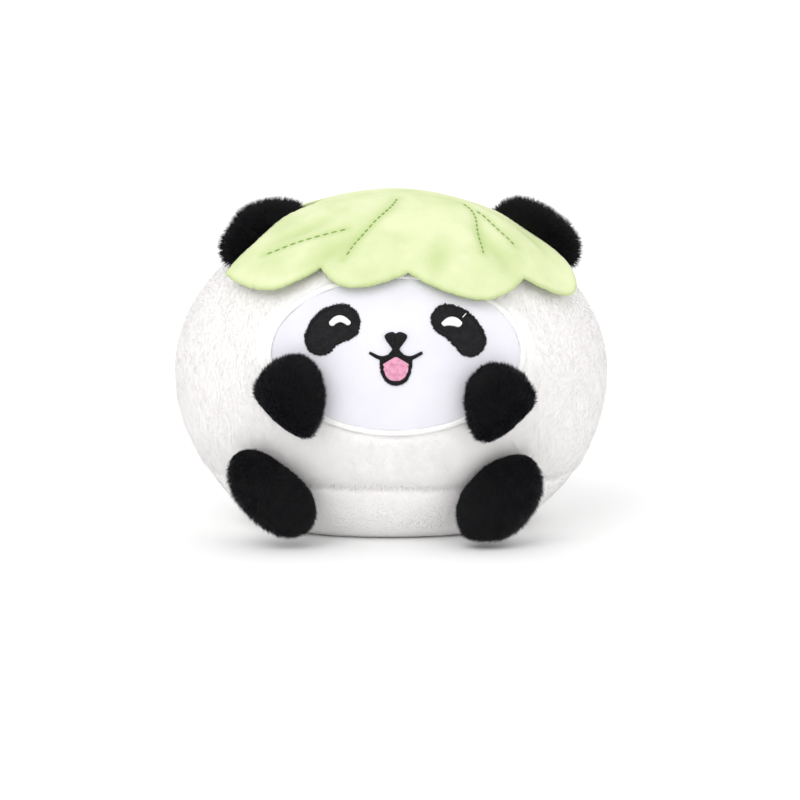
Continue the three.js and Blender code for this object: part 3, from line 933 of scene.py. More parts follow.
    def panel(self, name: str, chart: Chart, pattern: Pattern, seed: int) -> list[bpy.types.Object]:
        """Makes one plush panel and its pile.

        Args:
            name: the panel's name, which is also its CAD node's.
            chart: how its pattern was laid out.
            pattern: the cut pattern.
            seed: fixes the pile.

        Returns:
            The backing and the pile, which the front panel has in two pieces. The backing's outer face
            dips to its seams.
        """
        direction = chart.lift(pattern.points)
        top = BUN.place(direction, self.rounded(pattern.edge) - self.settle)
        under = BUN.place(direction, np.full(len(direction), -self.thickness - self.seam_dip - self.settle))
        points, faces = pattern.closed(top, under)
        backing = make_piece(f"{name}_cloth", points, faces, [WHITE_BACKING.material()])
        pile = self.fluff if chart.pole is Pole.BASE else self.pile
        grow = pile.grow_halves if chart.pole is Pole.FRONT else pile.grow
        flow = fringed if chart.pole is Pole.BASE else downhill
        grown = grow(f"{name}_pile", top, pattern.triangles, flow, WHITE_FIBRE, seed, self.pile_length)
        return [backing, *(grown if isinstance(grown, list) else [grown])]

    def build(self) -> None:
        """Builds the four plush panels and the velvet face."""
        front = Chart(Pole.FRONT)
        hole = front.flatten(BUN.facing(*self.face_loop(0).T))
        cut = Pattern.cut(self.front_outline(front), [hole], self.front_pitch)
        self.finish_panel(self.panel("front_panel", front, cut, self.seed), "front_panel", "white_plush")
        back = Chart(Pole.BACK)
        for name, side in (("back_panel_left", 1), ("back_panel_right", -1)):
            cut = Pattern.cut(self.back_outline(back, side), [], self.back_pitch)
            made = self.panel(name, back, cut, self.seed + 2 + side)
            self.finish_panel(made, name, "white_plush")
        base = Chart(Pole.BASE)
        ring = base.flatten(self.base_ring(-180, 180, 181, self.seam_up(-1))[:-1])
        cut = Pattern.cut(anticlockwise(ring), [], self.back_pitch)
        made = self.panel("base_panel", base, cut, self.seed + 7)
        self.finish_panel(made, "base_panel", "white_plush", "body_stuffing")
        self.build_face()

    def finish_panel(self, made: list[bpy.types.Object], node: str, slot: str, *more: str) -> None:
        """Rides a panel and its pile on the body and says which CAD nodes the panel stands for."""
        for piece in made:
            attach(piece, "body")
        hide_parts(node, *more)
        LOG.info("%s: %d faces", node, sum(len(p.data.polygons) for p in made))

    def build_face(self) -> None:
        """Builds the velvet face: a shallow pillow inside the oval, pulled in at its edge."""
        pattern = Pattern.cut(self.face_loop(0.15), [], self.face_pitch)
        x, z = pattern.points.T
        pucker = self.pucker * ripple(np.stack([x, 0 * x, z], 1), 9.0, 3)
        top = BUN.front(x, z, 0.22 + self.rounded(pattern.edge * 1.5) * 0.1 + pucker)
        under = BUN.front(x, z, np.full(len(x), -self.thickness - self.seam_dip))
        points, faces = pattern.closed(top, under)
        piece = make_piece("face_velvet", points, faces, [VELVET.material()])
        self.finish_panel([piece], "face_panel", "white_velvet")


# ---- Embroidery ----------------------------------------------------------------------------------------


@dataclass(frozen=True)
class Thread:
    """How stitches are sewn.

    Args:
        width: a thread's width, in millimetres.
        rise: how far the middle of a stitch stands above its ends.
        bed: height of the ends above the cloth.
    """

    width: float = 0.3
    rise: float = 0.45
    bed: float = 0.05

    def sew(self, name: str, starts: Array, ends: Array, finish: ClothFinish, seed: int) -> bpy.types.Object:
        """Makes one closed, tapered tube per stitch, arched over the face.

        Args:
            name: the piece's name.
            starts: where each stitch starts, in x and z, (n, 2).
            ends: where it ends.
            finish: the thread's finish.
            seed: fixes the small differences between stitches.

        Returns:
            All the stitches as one object. Station u along a stitch has radius (1 - (2u - 1)^4)^0.5 of
            the full one, and is raised by the same share of the rise.
        """
        rng = np.random.default_rng(seed)
        count, around = len(starts), 6
        stations = np.array([0.07, 0.25, 0.5, 0.75, 0.93])
        swell = np.sqrt(1 - (2 * stations - 1) ** 4)
        run = ends - starts
        side = normalised(np.stack([-run[:, 1], run[:, 0]], axis=1))
        turn = np.linspace(0, 2 * np.pi, around, endpoint=False)
        width = self.width * rng.uniform(0.9, 1.1, count)
        lift = self.rise * rng.uniform(0.92, 1.08, count)
        flat = starts[:, None, None] + run[:, None, None] * stations[None, :, None, None]
        wide = (width[:, None, None] / 2 * swell[None, :, None] * np.cos(turn))[..., None]
        flat = flat + side[:, None, None] * wide
        tall = self.width * 0.42 * swell[None, :, None] * np.sin(turn)
        height = self.bed + lift[:, None, None] * swell[None, :, None] + tall
        body = BUN.front(flat[..., 0], flat[..., 1], height).reshape(count, -1, 3)
        caps = [BUN.front(*p.T, np.full(count, self.bed - 0.05))[:, None] for p in (starts, ends)]
        points = np.concatenate([body, *caps], axis=1)
        size, rings = points.shape[1], len(stations)
        quads = ring_quads(rings, around)
        k = np.arange(around)
        after = (k + 1) % around
        last = (rings - 1) * around
        head = np.stack([k, after, np.full(around, rings * around)], axis=1)
        tail = np.stack([last + after, last + k, np.full(around, rings * around + 1)], axis=1)
        first = np.arange(count)[:, None, None] * size
        faces = [(quads[None] + first).reshape(-1, 4), (np.vstack([head, tail])[None] + first).reshape(-1, 3)]
        return outward(make_piece(name, points.reshape(-1, 3), faces, [finish.material()]))

    def satin(
        self, path: Array, width: float, closed: bool, pitch: float | None = None, uneven: float = 0.0
    ) -> tuple[Array, Array]:
        """Lays a satin line: stitches straight across a path, side by side.

        Args:
            path: the line's path, in x and z.
            width: the line's width.
            closed: whether the path is a loop.
            pitch: distance between stitches, or nothing for one that just covers the cloth.
            uneven: how far the stitches' ends wander, in millimetres.

        Returns:
            The stitches' two ends.
        """
        place, across = evenly(path, pitch or self.width * 0.78, closed)
        wander = np.random.default_rng(len(place)).uniform(-1, 1, (2, len(place), 1)) * uneven
        return place - across * (width / 2 + wander[0]), place + across * (width / 2 + wander[1])

    def fill(self, outline: Array, angle: float, length: float, seed: int) -> tuple[Array, Array]:
        """Fills an outline with rows of short stitches.

        Args:
            outline: the loop to fill, in x and z.
            angle: direction of the rows, in degrees from +X.
            length: length of a stitch.
            seed: fixes where each row's stitches start.

        Returns:
            The stitches' starts and ends. Each row is cut where it crosses the outline, then split into
            even stitches whose joints are staggered from row to row.
        """
        rng = np.random.default_rng(seed)
        turn = np.radians(angle)
        along, across = np.array([np.cos(turn), np.sin(turn)]), np.array([-np.sin(turn), np.cos(turn)])
        local = np.stack([outline @ along, outline @ across], axis=1)
        after = np.roll(local, -1, axis=0)
        starts, ends = [], []
        for row in np.arange(local[:, 1].min() + self.width * 0.4, local[:, 1].max(), self.width * 0.85):
            cut = (local[:, 1] > row) != (after[:, 1] > row)
            share = (row - local[cut, 1]) / (after[cut, 1] - local[cut, 1])
            at = np.sort(local[cut, 0] + share * (after[cut, 0] - local[cut, 0]))
            for low, high in zip(at[::2], at[1::2]):
                inner = np.arange(low + length * rng.uniform(0.25, 1), high - length * 0.25, length)
                stops = np.concatenate([[low], inner, [high]])
                starts.append(np.stack([stops[:-1], np.full(len(stops) - 1, row)], axis=1))
                ends.append(np.stack([stops[1:], np.full(len(stops) - 1, row)], axis=1))
        back = np.stack([along, across])
        return np.vstack(starts) @ back, np.vstack(ends) @ back


@dataclass
class Face:
    """The embroidery: eye patches, highlights, nose, mouth and tongue, in x and z millimetres."""

    eye_right: Bean = Bean((-11.6, 55.9), (-17.0, 51.9), (4.4, 3.9), -0.8, 0.3)
    eye_left: Bean = Bean((13.4, 56.6), (19.4, 51.4), (3.7, 3.8), 0.8, 0.35)
    gleam_right: Bean = Bean((-14.0, 55.7), (-10.3, 55.9), (0.75, 0.7), 0.95, 0.15)
    gleam_left: Bean = Bean((13.1, 55.7), (16.2, 55.6), (0.75, 0.95), 0.5, 0.3)
    loose_stitch: tuple[Pair, Pair] = ((17.3, 56.9), (18.3, 57.9))
    muzzle: Pair = (1.3, 48.5)
    half_nose: tuple[Pair, ...] = (
        (0.9, 5.5), (2.5, 4.9), (2.5, 3.7), (1.6, 2.4), (0.9, 1.3), (1.7, 0.0),
    )
    nose_dip: float = 5.1
    lip_low: Pair = (3.4, -0.75)
    lip_corner: Pair = (6.3, 0.45)
    jaw: Pair = (3.45, 6.8)
    jaw_fullness: float = 2.5
    tongue: Pair = (3.0, 6.2)
    tongue_shoulder: float = 2.1
    border: float = 1.5
    border_thread: Thread = Thread(0.42, 0.26, 0.16)
    edge_thread: Thread = Thread(0.27, 0.42, 0.05)
    gleam_thread: Thread = Thread(0.26, 0.26, 0.42)
    nose_thread: Thread = Thread(0.3, 0.66, 0.05)
    tongue_thread: Thread = Thread(0.3, 0.28, 0.3)
    lip_thread: Thread = Thread(0.26, 0.5, 0.05)
    ground_depth: float = 0.3

    def shrunk(self, loop: Array, inset: float) -> Array:
        """Returns a closed loop moved inwards by an inset along its own left or right."""
        place, across = evenly(loop, 0.3, True)
        middle = place.mean(0)
        inwards = np.sign(((middle - place) * across).sum())
        return place + across * inwards * inset

    def build(self, cloth: BodyCloth) -> None:
        """Sews everything on the face."""
        self.sew_border(cloth)
        for hand, shape, gleam in (
            ("right", self.eye_right, self.gleam_right),
            ("left", self.eye_left, self.gleam_left),
        ):
            self.sew_eye(hand, shape.loop(), gleam.loop())
        self.sew_muzzle()

    def mirrored(self, half: Sequence[Pair]) -> list[Pair]:
        """Returns right-hand points over the muzzle's middle, with their mirror images, left to right."""
        x, z = self.muzzle
        both = [(-a, b) for a, b in reversed(half)] + [(a, b) for a, b in half]
        return [(x + a, z + b) for a, b in both]

    def bowl(self, half_width: float, bottom: float, top: float) -> Array:
        """Returns a bowl from left to right: |x / width|^n + |z / depth|^n = 1 under a height.

        Args:
            half_width: half its width at the top.
            bottom: how far its floor lies under the lip.
            top: how far its top lies under the lip.
        """
        turn = np.linspace(0, np.pi, 60)
        flat = 2 / self.jaw_fullness
        across = -half_width * np.sign(np.cos(turn)) * np.abs(np.cos(turn)) ** flat
        deep = top + (bottom - top) * np.sin(turn) ** flat
        return np.stack([self.muzzle[0] + across, self.muzzle[1] - deep], axis=1)

    def keep(self, piece: bpy.types.Object, slot: str, *nodes: str) -> None:
        """Rides a sewn piece on the body and says which CAD nodes it stands for."""
        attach(piece, "body")
        if nodes:
            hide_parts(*nodes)
        LOG.info("%s: %d faces", piece.name, len(piece.data.polygons))

    def sew_border(self, cloth: BodyCloth) -> None:
        """Sews the raised satin border round the velvet."""
        thread = self.border_thread
        stitches = thread.satin(cloth.face_loop(0.0, 300), self.border, True, 0.34)
        self.keep(thread.sew("face_border_satin", *stitches, WHITE_SATIN, 31), "white_thread", "face_border")

    def lay_ground(
        self,
        name: str,
        loop: Array,
        finish: ClothFinish,
        slot: str,
        rise: float,
        *nodes: str,
        pitch: float = 0.4,
    ) -> None:
        """Lays a thin felt ground under a filled shape.

        Args:
            name: the ground's name.
            loop: its outline in x and z.
            finish: its finish.
            slot: not used.
            rise: height of its upper face above the cloth.
            nodes: the CAD nodes that it stands for, if any.
            pitch: distance between the points of its outline.
        """
        pattern = Pattern.cut(evenly(loop, pitch, True)[0], [], 0.6)
        x, z = pattern.points.T
        top = BUN.front(x, z, np.full(len(x), rise))
        points, faces = pattern.closed(top, BUN.front(x, z, np.full(len(x), rise - self.ground_depth)))
        self.keep(make_piece(f"{name}_ground", points, faces, [finish.material()]), slot, *nodes)
        if nodes:
            nap = Pile(0.45, 0.09, 26.0, lean=70, swirl=80, soft=0.5)
            self.keep(nap.grow(f"{name}_nap", top, pattern.triangles, brushed_down, FELT_FIBRE, 5), slot)

    def sew_eye(self, hand: str, shape: Array, gleam: Array) -> None:
        """Sews an eye patch: a felt ground with its nap, a satin edge and a curved white highlight."""
        seed = 40 + len(hand)
        ground = self.shrunk(shape, 0.4)
        patch = f"eye_patch_{hand}"
        self.lay_ground(patch, ground, BLACK_FELT, "black_felt", 0.35, patch, pitch=0.5)
        edge = self.edge_thread
        rim = edge.satin(self.shrunk(shape, 0.42), 0.95, True, uneven=0.22)
        sewn = edge.sew(f"eye_patch_satin_{hand}", *rim, BLACK_SATIN, seed + 1)
        self.keep(sewn, "black_thread", f"eye_patch_edge_{hand}")
        shine = self.gleam_thread
        starts, ends = shine.fill(gleam, 90.0, 6.0, seed + 3)
        if hand == "left":
            start, end = self.loose_stitch
            starts, ends = np.vstack([starts, [start]]), np.vstack([ends, [end]])
        white = shine.sew(f"eye_highlight_satin_{hand}", starts, ends, WHITE_SATIN, seed + 2)
        self.keep(white, "white_thread", f"eye_highlight_{hand}")

    def sew_muzzle(self) -> None:
        """Sews the nose with upright threads, the lip and jaw in satin, and the pink tongue."""
        x, z = self.muzzle
        around = self.mirrored(self.half_nose)
        middle = len(around) // 2
        nose = closed_curve([*around[:middle], (x, z + self.nose_dip), *around[middle:]], 90)
        sides = self.mirrored((self.lip_low, self.lip_corner))
        lip_path = open_curve([*sides[:2], self.muzzle, *sides[2:]], 80)
        jaw = self.bowl(*self.jaw, 1.0)
        tongue = np.vstack([[[x, z - 0.35]], self.bowl(*self.tongue, self.tongue_shoulder)[::-1]])
        mouth = np.vstack([[[x, z]], jaw[::-1]])
        self.lay_ground("nose", nose, BLACK_FELT, "black_thread", 0.25)
        stitches = self.nose_thread.fill(nose, 90.0, 6.0, 61)
        sewn = self.nose_thread.sew("nose_satin", *stitches, BLACK_SATIN, 62)
        self.keep(sewn, "black_thread", "nose")
        self.lay_ground("mouth", mouth, BLACK_FELT, "black_thread", 0.25)
        self.lay_ground("tongue", tongue, PINK_THREAD, "pink_thread", 0.45)
        stitches = self.tongue_thread.fill(tongue, 84.0, 2.4, 63)
        sewn = self.tongue_thread.sew("tongue_fill", *stitches, PINK_THREAD, 64)
        self.keep(sewn, "pink_thread", "tongue")
        line = self.lip_thread
        lip, lip_across = evenly(lip_path, 0.2, False)
        share = np.linspace(-1, 1, len(lip))[:, None]
        half = lip_across * (0.62 - 0.22 * share**2)
        starts, ends = line.satin(jaw, 1.15, False, 0.2, uneven=0.13)
        starts, ends = np.vstack([starts, lip - half]), np.vstack([ends, lip + half])
        self.keep(line.sew("mouth_satin", starts, ends, BLACK_SATIN, 65), "black_thread", "mouth_outline")


# ---- Limbs ---------------------------------------------------------------------------------------------


@dataclass(frozen=True)
class Plane:
    """A flat limit that a stuffed piece doesn't pass, through a point and with a normal into the piece."""

    point: Array
    normal: Array

    def press(self, points: Array, soft: float) -> Array:
        """Returns points pressed onto the plane, with a rounded shoulder of the given size."""
        height = (points - self.point) @ self.normal
        pressed = (height + np.sqrt(height**2 + soft**2)) / 2
        return points + (pressed - height)[:, None] * self.normal


@dataclass(frozen=True)
class Skin:
    """The head's surface as a limit, for a piece whose root follows its curve."""

    clearance: float

    def press(self, points: Array, soft: float) -> Array:
        """Returns points pressed onto the bun, with a rounded shoulder of the given size."""
        local = points - np.array([0, SETBACK, BUN.widest])
        direction = normalised(local / BUN.sizes(local))
        normal = BUN.normal(direction)
        above = ((points - BUN.place(direction)) * normal).sum(1) - self.clearance
        pressed = (above + np.sqrt(above**2 + soft**2)) / 2
        return points + (pressed - above)[:, None] * normal


@dataclass(frozen=True)
class Pose:
    """Where a limb's middle is, with its rows across, along and outwards as unit vectors."""

    origin: Array
    across: Array
    along: Array
    out: Array

    def world(self, local: Array) -> Array:
        """Returns places given in the limb's own axes in the toy's frame."""
        return self.origin + local @ np.stack([self.across, self.along, self.out])

    def moved(self, x: float, y: float, z: float) -> Array:
        """Returns the place at x, y and z in the limb's own axes."""
        return self.world(np.array([[x, y, z]]))[0]


def half_pod(outline: Array, depth: float, side: int, plump: float) -> tuple[Array, list[Array], Array]:
    """Half of a stuffed pod: a dome on one side of the seam, closed by a flat wall at the seam.

    Args:
        outline: the seam's loop, anticlockwise round the pod's middle, in millimetres.
        depth: how far the dome rises.
        side: 1 for the outer half, -1 for the inner.
        plump: above 1 the dome is fuller than an ellipsoid.

    Returns:
        The points, the faces, and the dome's triangles alone. At s from 0 to 1 up the dome the outline
        is scaled by cos(s pi / 2)^(1/plump) and raised by depth sin(s pi / 2)^(1/plump); the wall's
        rings shrink to the middle.
    """
    around, rings, wall = len(outline), 14, 4
    rise = np.linspace(0, 1, rings, endpoint=False) * np.pi / 2
    radius = np.concatenate([np.linspace(0, 1, wall, endpoint=False)[1:], np.cos(rise) ** (1 / plump)])
    height = np.concatenate([np.zeros(wall - 1), np.sin(rise) ** (1 / plump)])
    flat = radius[:, None, None] * outline
    tall = np.broadcast_to((height * depth * side)[:, None, None], (*flat.shape[:2], 1))
    ring = np.concatenate([flat, tall], axis=-1)
    points = np.vstack([ring.reshape(-1, 3), [[0, 0, 0]], [[0, 0, depth * side]]])
    quads = ring_quads(len(radius), around)[:, ::-1]
    k = np.arange(around)
    after, last = (k + 1) % around, (len(radius) - 1) * around
    floor = np.stack([after, k, np.full(around, len(points) - 2)], axis=1)
    cap = np.stack([last + k, last + after, np.full(around, len(points) - 1)], axis=1)
    faces = [quads, np.vstack([floor, cap])]
    if side < 0:
        faces = [f[:, ::-1] for f in faces]
    dome = faces[0][(wall - 1) * around :]
    triangles = np.vstack([dome[:, [0, 1, 2]], dome[:, [0, 2, 3]], faces[1][around:]])
    return points, faces, triangles


@dataclass
class StuffedLimb:
    """A limb made of two stuffed halves, each with its pile.

    Args:
        name: the limb's name, its body's name and the start of its pieces' names.
        pose: where it is.
        shape: its seam's outline.
        depth: half its thickness.
        limits: the planes and skin that it is pressed against.
        pile: its pile.
        flow: the way the pile lies.
        seed: fixes the pile.
        halves: the names of the outer and inner halves.
        filled: whether the part has a node for the filling inside.
        trim: gives the pile's share of its full length from places, or nothing.
        plump: fullness of the domes.
        lumps: height of its soft bumps.
        shoulder: how rounded it is where it meets a limit.
        ring_points: how many points its seam has.
    """

    name: str
    pose: Pose
    shape: PodShape
    depth: float
    limits: Sequence[Plane | Skin]
    pile: Pile
    flow: Flow
    seed: int
    halves: tuple[str, str] = ("outer_panel", "inner_panel")
    filled: bool = True
    trim: Trim | None = None
    plump: float = 1.12
    lumps: float = 0.3
    shoulder: float = 0.8
    ring_points: int = 56

    def build(self) -> None:
        """Builds both halves."""
        loop = self.shape.loop()
        length = float(np.linalg.norm(loop - np.roll(loop, -1, 0), axis=1).sum())
        loop = anticlockwise(evenly(loop, length / self.ring_points, True)[0])
        for half, side in zip(self.halves, (1, -1)):
            self.build_half(f"{self.name}_{half}", loop, side)

    def build_half(self, node: str, loop: Array, side: int) -> None:
        """Builds one half, pressed against the limits, and says which CAD nodes it stands for."""
        points, faces, dome = half_pod(loop, self.depth, side, self.plump)
        points = self.pose.world(points)
        bumps = (self.lumps * ripple(points, 9.0, self.seed))[:, None]
        points = points + normalised(points - self.pose.origin) * bumps
        for limit in self.limits:
            points = limit.press(points, self.shoulder)
        backing = make_piece(f"{node}_cloth", points, faces, [BLACK_BACKING.material()])
        fibres = self.pile.grow(
            f"{node}_pile", points, dome, self.flow, BLACK_FIBRE, self.seed + side, self.trim
        )
        for piece in (backing, fibres):
            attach(piece, self.name)
        stuffing = [f"{self.name}_stuffing"] if self.filled and side > 0 else []
        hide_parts(node, *stuffing)
        LOG.info("%s: %d faces", node, len(backing.data.polygons) + len(fibres.data.polygons))


def fan(along: Array, origin: Array, spread: float) -> Flow:
    """Returns a flow that runs along a direction and spreads out from a place."""

    def flow(points: Array, normals: Array) -> Array:
        """Returns the direction at each place."""
        return along + spread * (points - origin) / 10

    return flow


def short_near(plane: Plane, least: float, low: float, high: float) -> Trim:
    """Returns a trim that shortens fibres near a plane, to least below low, and leaves them above high."""

    def trim(points: Array) -> Array:
        """Returns each place's share of the full length."""
        return least + (1 - least) * blend(low, high, (points - plane.point) @ plane.normal)

    return trim


@dataclass
class Limbs:
    """The arms, feet and ears. Places and sizes are the part's own, in millimetres and degrees."""

    arm_right: PodShape = PodShape(8.6, -2.2, 9.6, -6.4, (2.0, 3.0), 1.2, -0.2)
    arm_left: PodShape = PodShape(8.3, -1.6, 9.1, -6.6, (2.15, 3.0), -0.6, 0.14)
    arm_depth: float = 5.3
    arm_lift: float = 4.3
    arm_root: float = 6.4
    arm_clearance: float = 1.0
    foot_right: PodShape = PodShape(7.8, -1.0, 12.4, -12.4, (2.3, 2.3), 0.6, -0.05)
    foot_left: PodShape = PodShape(8.85, 0.0, 11.8, -12.4, (2.15, 2.1), 0.0, -0.02)
    foot_depth: float = 5.9
    foot_y: float = -36.4
    foot_turn: float = 14.0
    foot_seam: float = 13.2
    foot_bottom: float = 2.6
    foot_clearance: float = 1.4
    ear_right: PodShape = PodShape(11.6, -1.8, 5.8, -4.8, (1.8, 2.6), -1.2)
    ear_left: PodShape = PodShape(12.1, -1.0, 6.7, -4.5, (2.2, 2.6), 1.9)
    ear_depth: float = 3.1
    ear_clearance: float = 1.2
    short_pile: Pile = Pile(1.8, 0.15, 24.0, lean=62, swirl=30, ragged=0.4, soft=0.35)
    long_pile: Pile = Pile(2.1, 0.17, 24.0, lean=46, swirl=34, ragged=0.5, soft=0.25)

    def build(self) -> None:
        """Builds the six limbs."""
        self.build_arm("arm_right", -23.4, 38.5, 38.0, 101)
        self.build_arm("arm_left", 25.1, 36.9, -38.0, 111)
        self.build_foot("foot_right", -29.6, 13.9, 40.0, 121)
        self.build_foot("foot_left", 26.8, 12.9, -40.0, 131)
        self.build_ear("ear_right", (-31.3, -8.6), 30.0, 20.0, 141)
        self.build_ear("ear_left", (34.8, -1.0), -30.0, 12.0, 151)

    def stand(self, point: Array, out: Array, spin: float) -> Pose:
        """Returns a pose at a point, facing out, whose along direction is up turned by spin degrees."""
        right = normalised(np.cross([0.0, 0.0, 1.0], out))
        up = np.cross(out, right)
        turn = math.radians(-spin)
        across = right * math.cos(turn) + up * math.sin(turn)
        along = up * math.cos(turn) - right * math.sin(turn)
        return Pose(point, across, along, out)

    def build_arm(self, name: str, x: float, z: float, spin: float, seed: int) -> None:
        """Builds an arm that lies on the cheek, pressed flat against it and pinched at its sewn end."""
        direction = BUN.facing(np.array([x]), np.array([z]))
        ground = self.stand(BUN.place(direction)[0], BUN.normal(direction)[0], spin)
        pose = Pose(ground.moved(0, 0, self.arm_lift), ground.across, ground.along, ground.out)
        cheek = Plane(ground.moved(0, 0, self.arm_clearance), ground.out)
        root = Plane(ground.moved(0, -self.arm_root, 0), ground.along)
        StuffedLimb(
            name, pose, getattr(self, name), self.arm_depth, (cheek, root), self.short_pile,
            fan(ground.along, pose.origin, 0.4), seed, trim=short_near(root, 0.35, 0.3, 2.6),
        ).build()

    def build_foot(self, name: str, x: float, z: float, lean: float, seed: int) -> None:
        """Builds a foot with its sole forward, pressed against the body behind it."""
        turn = math.radians(self.foot_turn) * (1 if x > 0 else -1)
        sole = np.array([math.sin(turn), -math.cos(turn), 0.0])
        pose = self.stand(np.array([x, self.foot_y + SETBACK, z]), sole, -lean)
        direction = BUN.facing(np.array([x]), np.array([self.foot_seam]))
        skin, away = BUN.place(direction)[0], BUN.normal(direction)[0]
        seam = Plane(skin + away * self.foot_clearance, away)
        floor = Plane(np.array([0, 0, self.foot_bottom]), np.array([0, 0, 1]))
        StuffedLimb(
            name, pose, getattr(self, name), self.foot_depth, (seam, floor), self.short_pile,
            fan(-pose.along, pose.origin, 0.3), seed, trim=short_near(seam, 0.4, 0.6, 4.0),
        ).build()

    def build_ear(self, name: str, spot: Pair, yaw: float, lean: float, seed: int) -> None:
        """Builds an ear, a flat disc cut off where its root stands on the head in the leaf's slot.

        Args:
            name: the ear's name and body.
            spot: x and y of the middle of its root.
            yaw: how far it faces outwards, in degrees.
            lean: how far it leans back.
            seed: fixes its pile.
        """
        x, y = spot
        side = math.sqrt(1 - (x / BUN.half_width) ** 2 - (y / BUN.half_depth) ** 2)
        direction = np.array([[x / BUN.half_width, y / BUN.half_depth, side]])
        skin, up = BUN.place(direction)[0], BUN.normal(direction)[0]
        turn, tilt = math.radians(yaw), math.radians(lean)
        back = np.array([-math.sin(turn), math.cos(turn), 0.0])
        back = normalised(back - up * (up @ back))
        tip = up * math.cos(tilt) + back * math.sin(tilt)
        rear = back * math.cos(tilt) - up * math.sin(tilt)
        root = skin + up * self.ear_clearance

        def flow(points: Array, normals: Array) -> Array:
            """Returns the direction away from the root, drawn a little towards the tip."""
            return normalised(points - root) + 0.5 * tip

        StuffedLimb(
            name, Pose(root, -np.cross(up, back), tip, -rear), getattr(self, name), self.ear_depth,
            [Skin(self.ear_clearance)], self.long_pile, flow, seed, ("front_panel", "back_panel"), False,
        ).build()


# ---- Leaf hat ------------------------------------------------------------------------------------------


@dataclass
class Leaf:
    """The leaf hat: doubled cloth with a scalloped rim, cut out round the ears. Angles are on the dome."""

    notches: tuple[Pair, ...] = (
        (-58.5, 55.5), (-22.5, 50.5), (5.5, 52.0), (43.0, 55.5), (65.0, 60.0),
    )
    lobe_tips: tuple[Pair, ...] = ((-36.0, 59.5), (-12.0, 57.5), (26.5, 62.0), (60.0, 62.5))
    left_side: tuple[Pair, ...] = (
        (-98.0, 43.5), (-95.0, 28.0), (-80.0, 18.0), (-66.0, 26.0), (-60.0, 40.0), (-58.5, 55.5),
    )
    right_side: tuple[Pair, ...] = (
        (65.0, 60.0), (76.0, 48.0), (86.0, 32.0), (103.0, 21.5), (116.0, 31.0), (119.0, 43.5),
    )
    rear_scallops: int = 5
    rear_reach: float = 47.0
    rear_bulge: float = 4.5
    height: float = 2.4
    thickness: float = 0.85
    flare: float = 1.2
    fray: float = 0.14
    hinge_y: float = 1.5
    hinge_reach: Pair = (4.0, -20.0)
    pitch: float = 0.9
    rim_pitch: float = 0.5
    vein_depth: float = 0.55
    fold_depth: float = 0.95
    roll_depth: float = 0.3
    stitch_pitch: float = 0.28
    stitch_radius: float = 0.2
    stitch_sink: float = 0.12
    veins: tuple[tuple[str, str, tuple[Pair, ...]], ...] = (
        ("front_left", "leaf_front", ((6.0, 14.0), (-10.0, 33.0), (-15.5, 48.0))),
        ("front_left_fork", "leaf_front", ((-20.0, 34.0), (-35.0, 40.0), (-47.0, 47.0))),
        ("front_right", "leaf_front", ((62.0, 21.0), (42.0, 34.0), (33.0, 46.0))),
        ("front_right_fork", "leaf_front", ((58.0, 26.0), (53.0, 35.0), (50.0, 44.0))),
        ("rear_left", "body", ((142.0, 18.0), (146.0, 38.0))),
        ("rear_middle", "body", ((180.0, 18.0), (180.0, 40.0))),
        ("rear_right", "body", ((-142.0, 18.0), (-146.0, 38.0))),
    )
    folds: tuple[tuple[Pair, Pair], ...] = (
        ((-30.0, 28.0), (-50.0, 44.0)),
        ((-12.0, 34.0), (-27.0, 52.0)),
        ((80.0, 22.0), (62.0, 52.0)),
        ((20.0, 38.0), (12.0, 56.0)),
        ((42.0, 34.0), (37.0, 54.0)),
    )
    fold_reach: float = 2.6

    def outline(self) -> Array:
        """Returns the leaf's outline as azimuth and polar angle, with sharp notches between lobes."""
        scallops = self.rear_scallops
        share = np.linspace(0, 1, scallops * 12 + 1)
        bulge = self.rear_bulge * np.abs(np.sin(np.pi * share * scallops)) ** 0.8
        rear = np.stack([122.0 + share * 136.0, self.rear_reach + bulge], axis=1)
        rear[:, 0] = np.where(rear[:, 0] > 180, rear[:, 0] - 360, rear[:, 0])
        rise = np.linspace(0, np.pi / 2, 16)
        front = []
        for near, tip, far in zip(self.notches, self.lobe_tips, self.notches[1:]):
            for corner, swing in ((near, rise), (far, rise[::-1])):
                share = np.stack([swing / (np.pi / 2), np.sin(swing)], axis=1)
                way = np.array(corner) + share * (np.array(tip) - corner)
                front.append(way[:-1])
        right = open_curve(self.right_side, 60)
        left = open_curve(self.left_side, 60)[:-1]
        return np.vstack([*front, right, rear, left])

    def flat(self, angles: Array) -> Array:
        """Returns flat pattern points of azimuth and polar angles, the crown in the middle."""
        turn, reach = np.radians(angles[:, 0]), np.radians(angles[:, 1]) * PATTERN_SCALE
        return np.stack([np.sin(turn) * reach, -np.cos(turn) * reach], axis=1)

    def vein_paths(self) -> list[Array]:
        """Returns the flat path of every vein."""
        return [self.flat(open_curve(path, 60)) for _, _, path in self.veins]

    def crease(self, flat: Array) -> Array:
        """Returns how deep each flat point lies in a vein's valley, 1 on the vein and 0 away from it."""
        deep = np.zeros(len(flat))
        for path in self.vein_paths():
            gap = np.linalg.norm(flat[:, None] - path[None], axis=-1).min(1)
            deep = np.maximum(deep, np.exp(-((gap / 1.5) ** 2)))
        return deep

    def soft_folds(self, flat: Array) -> Array:
        """Returns how deep each flat point lies in a soft fold, 1 in its middle, fading along its ends."""
        deep = np.zeros(len(flat))
        for path in self.folds:
            line = self.flat(np.linspace(path[0], path[1], 50))
            gap = np.linalg.norm(flat[:, None] - line[None], axis=-1)
            fade = np.sin(np.pi * (0.08 + 0.84 * gap.argmin(1) / 49))
            deep = np.maximum(deep, fade * np.exp(-((gap.min(1) / self.fold_reach) ** 2)))
        return deep

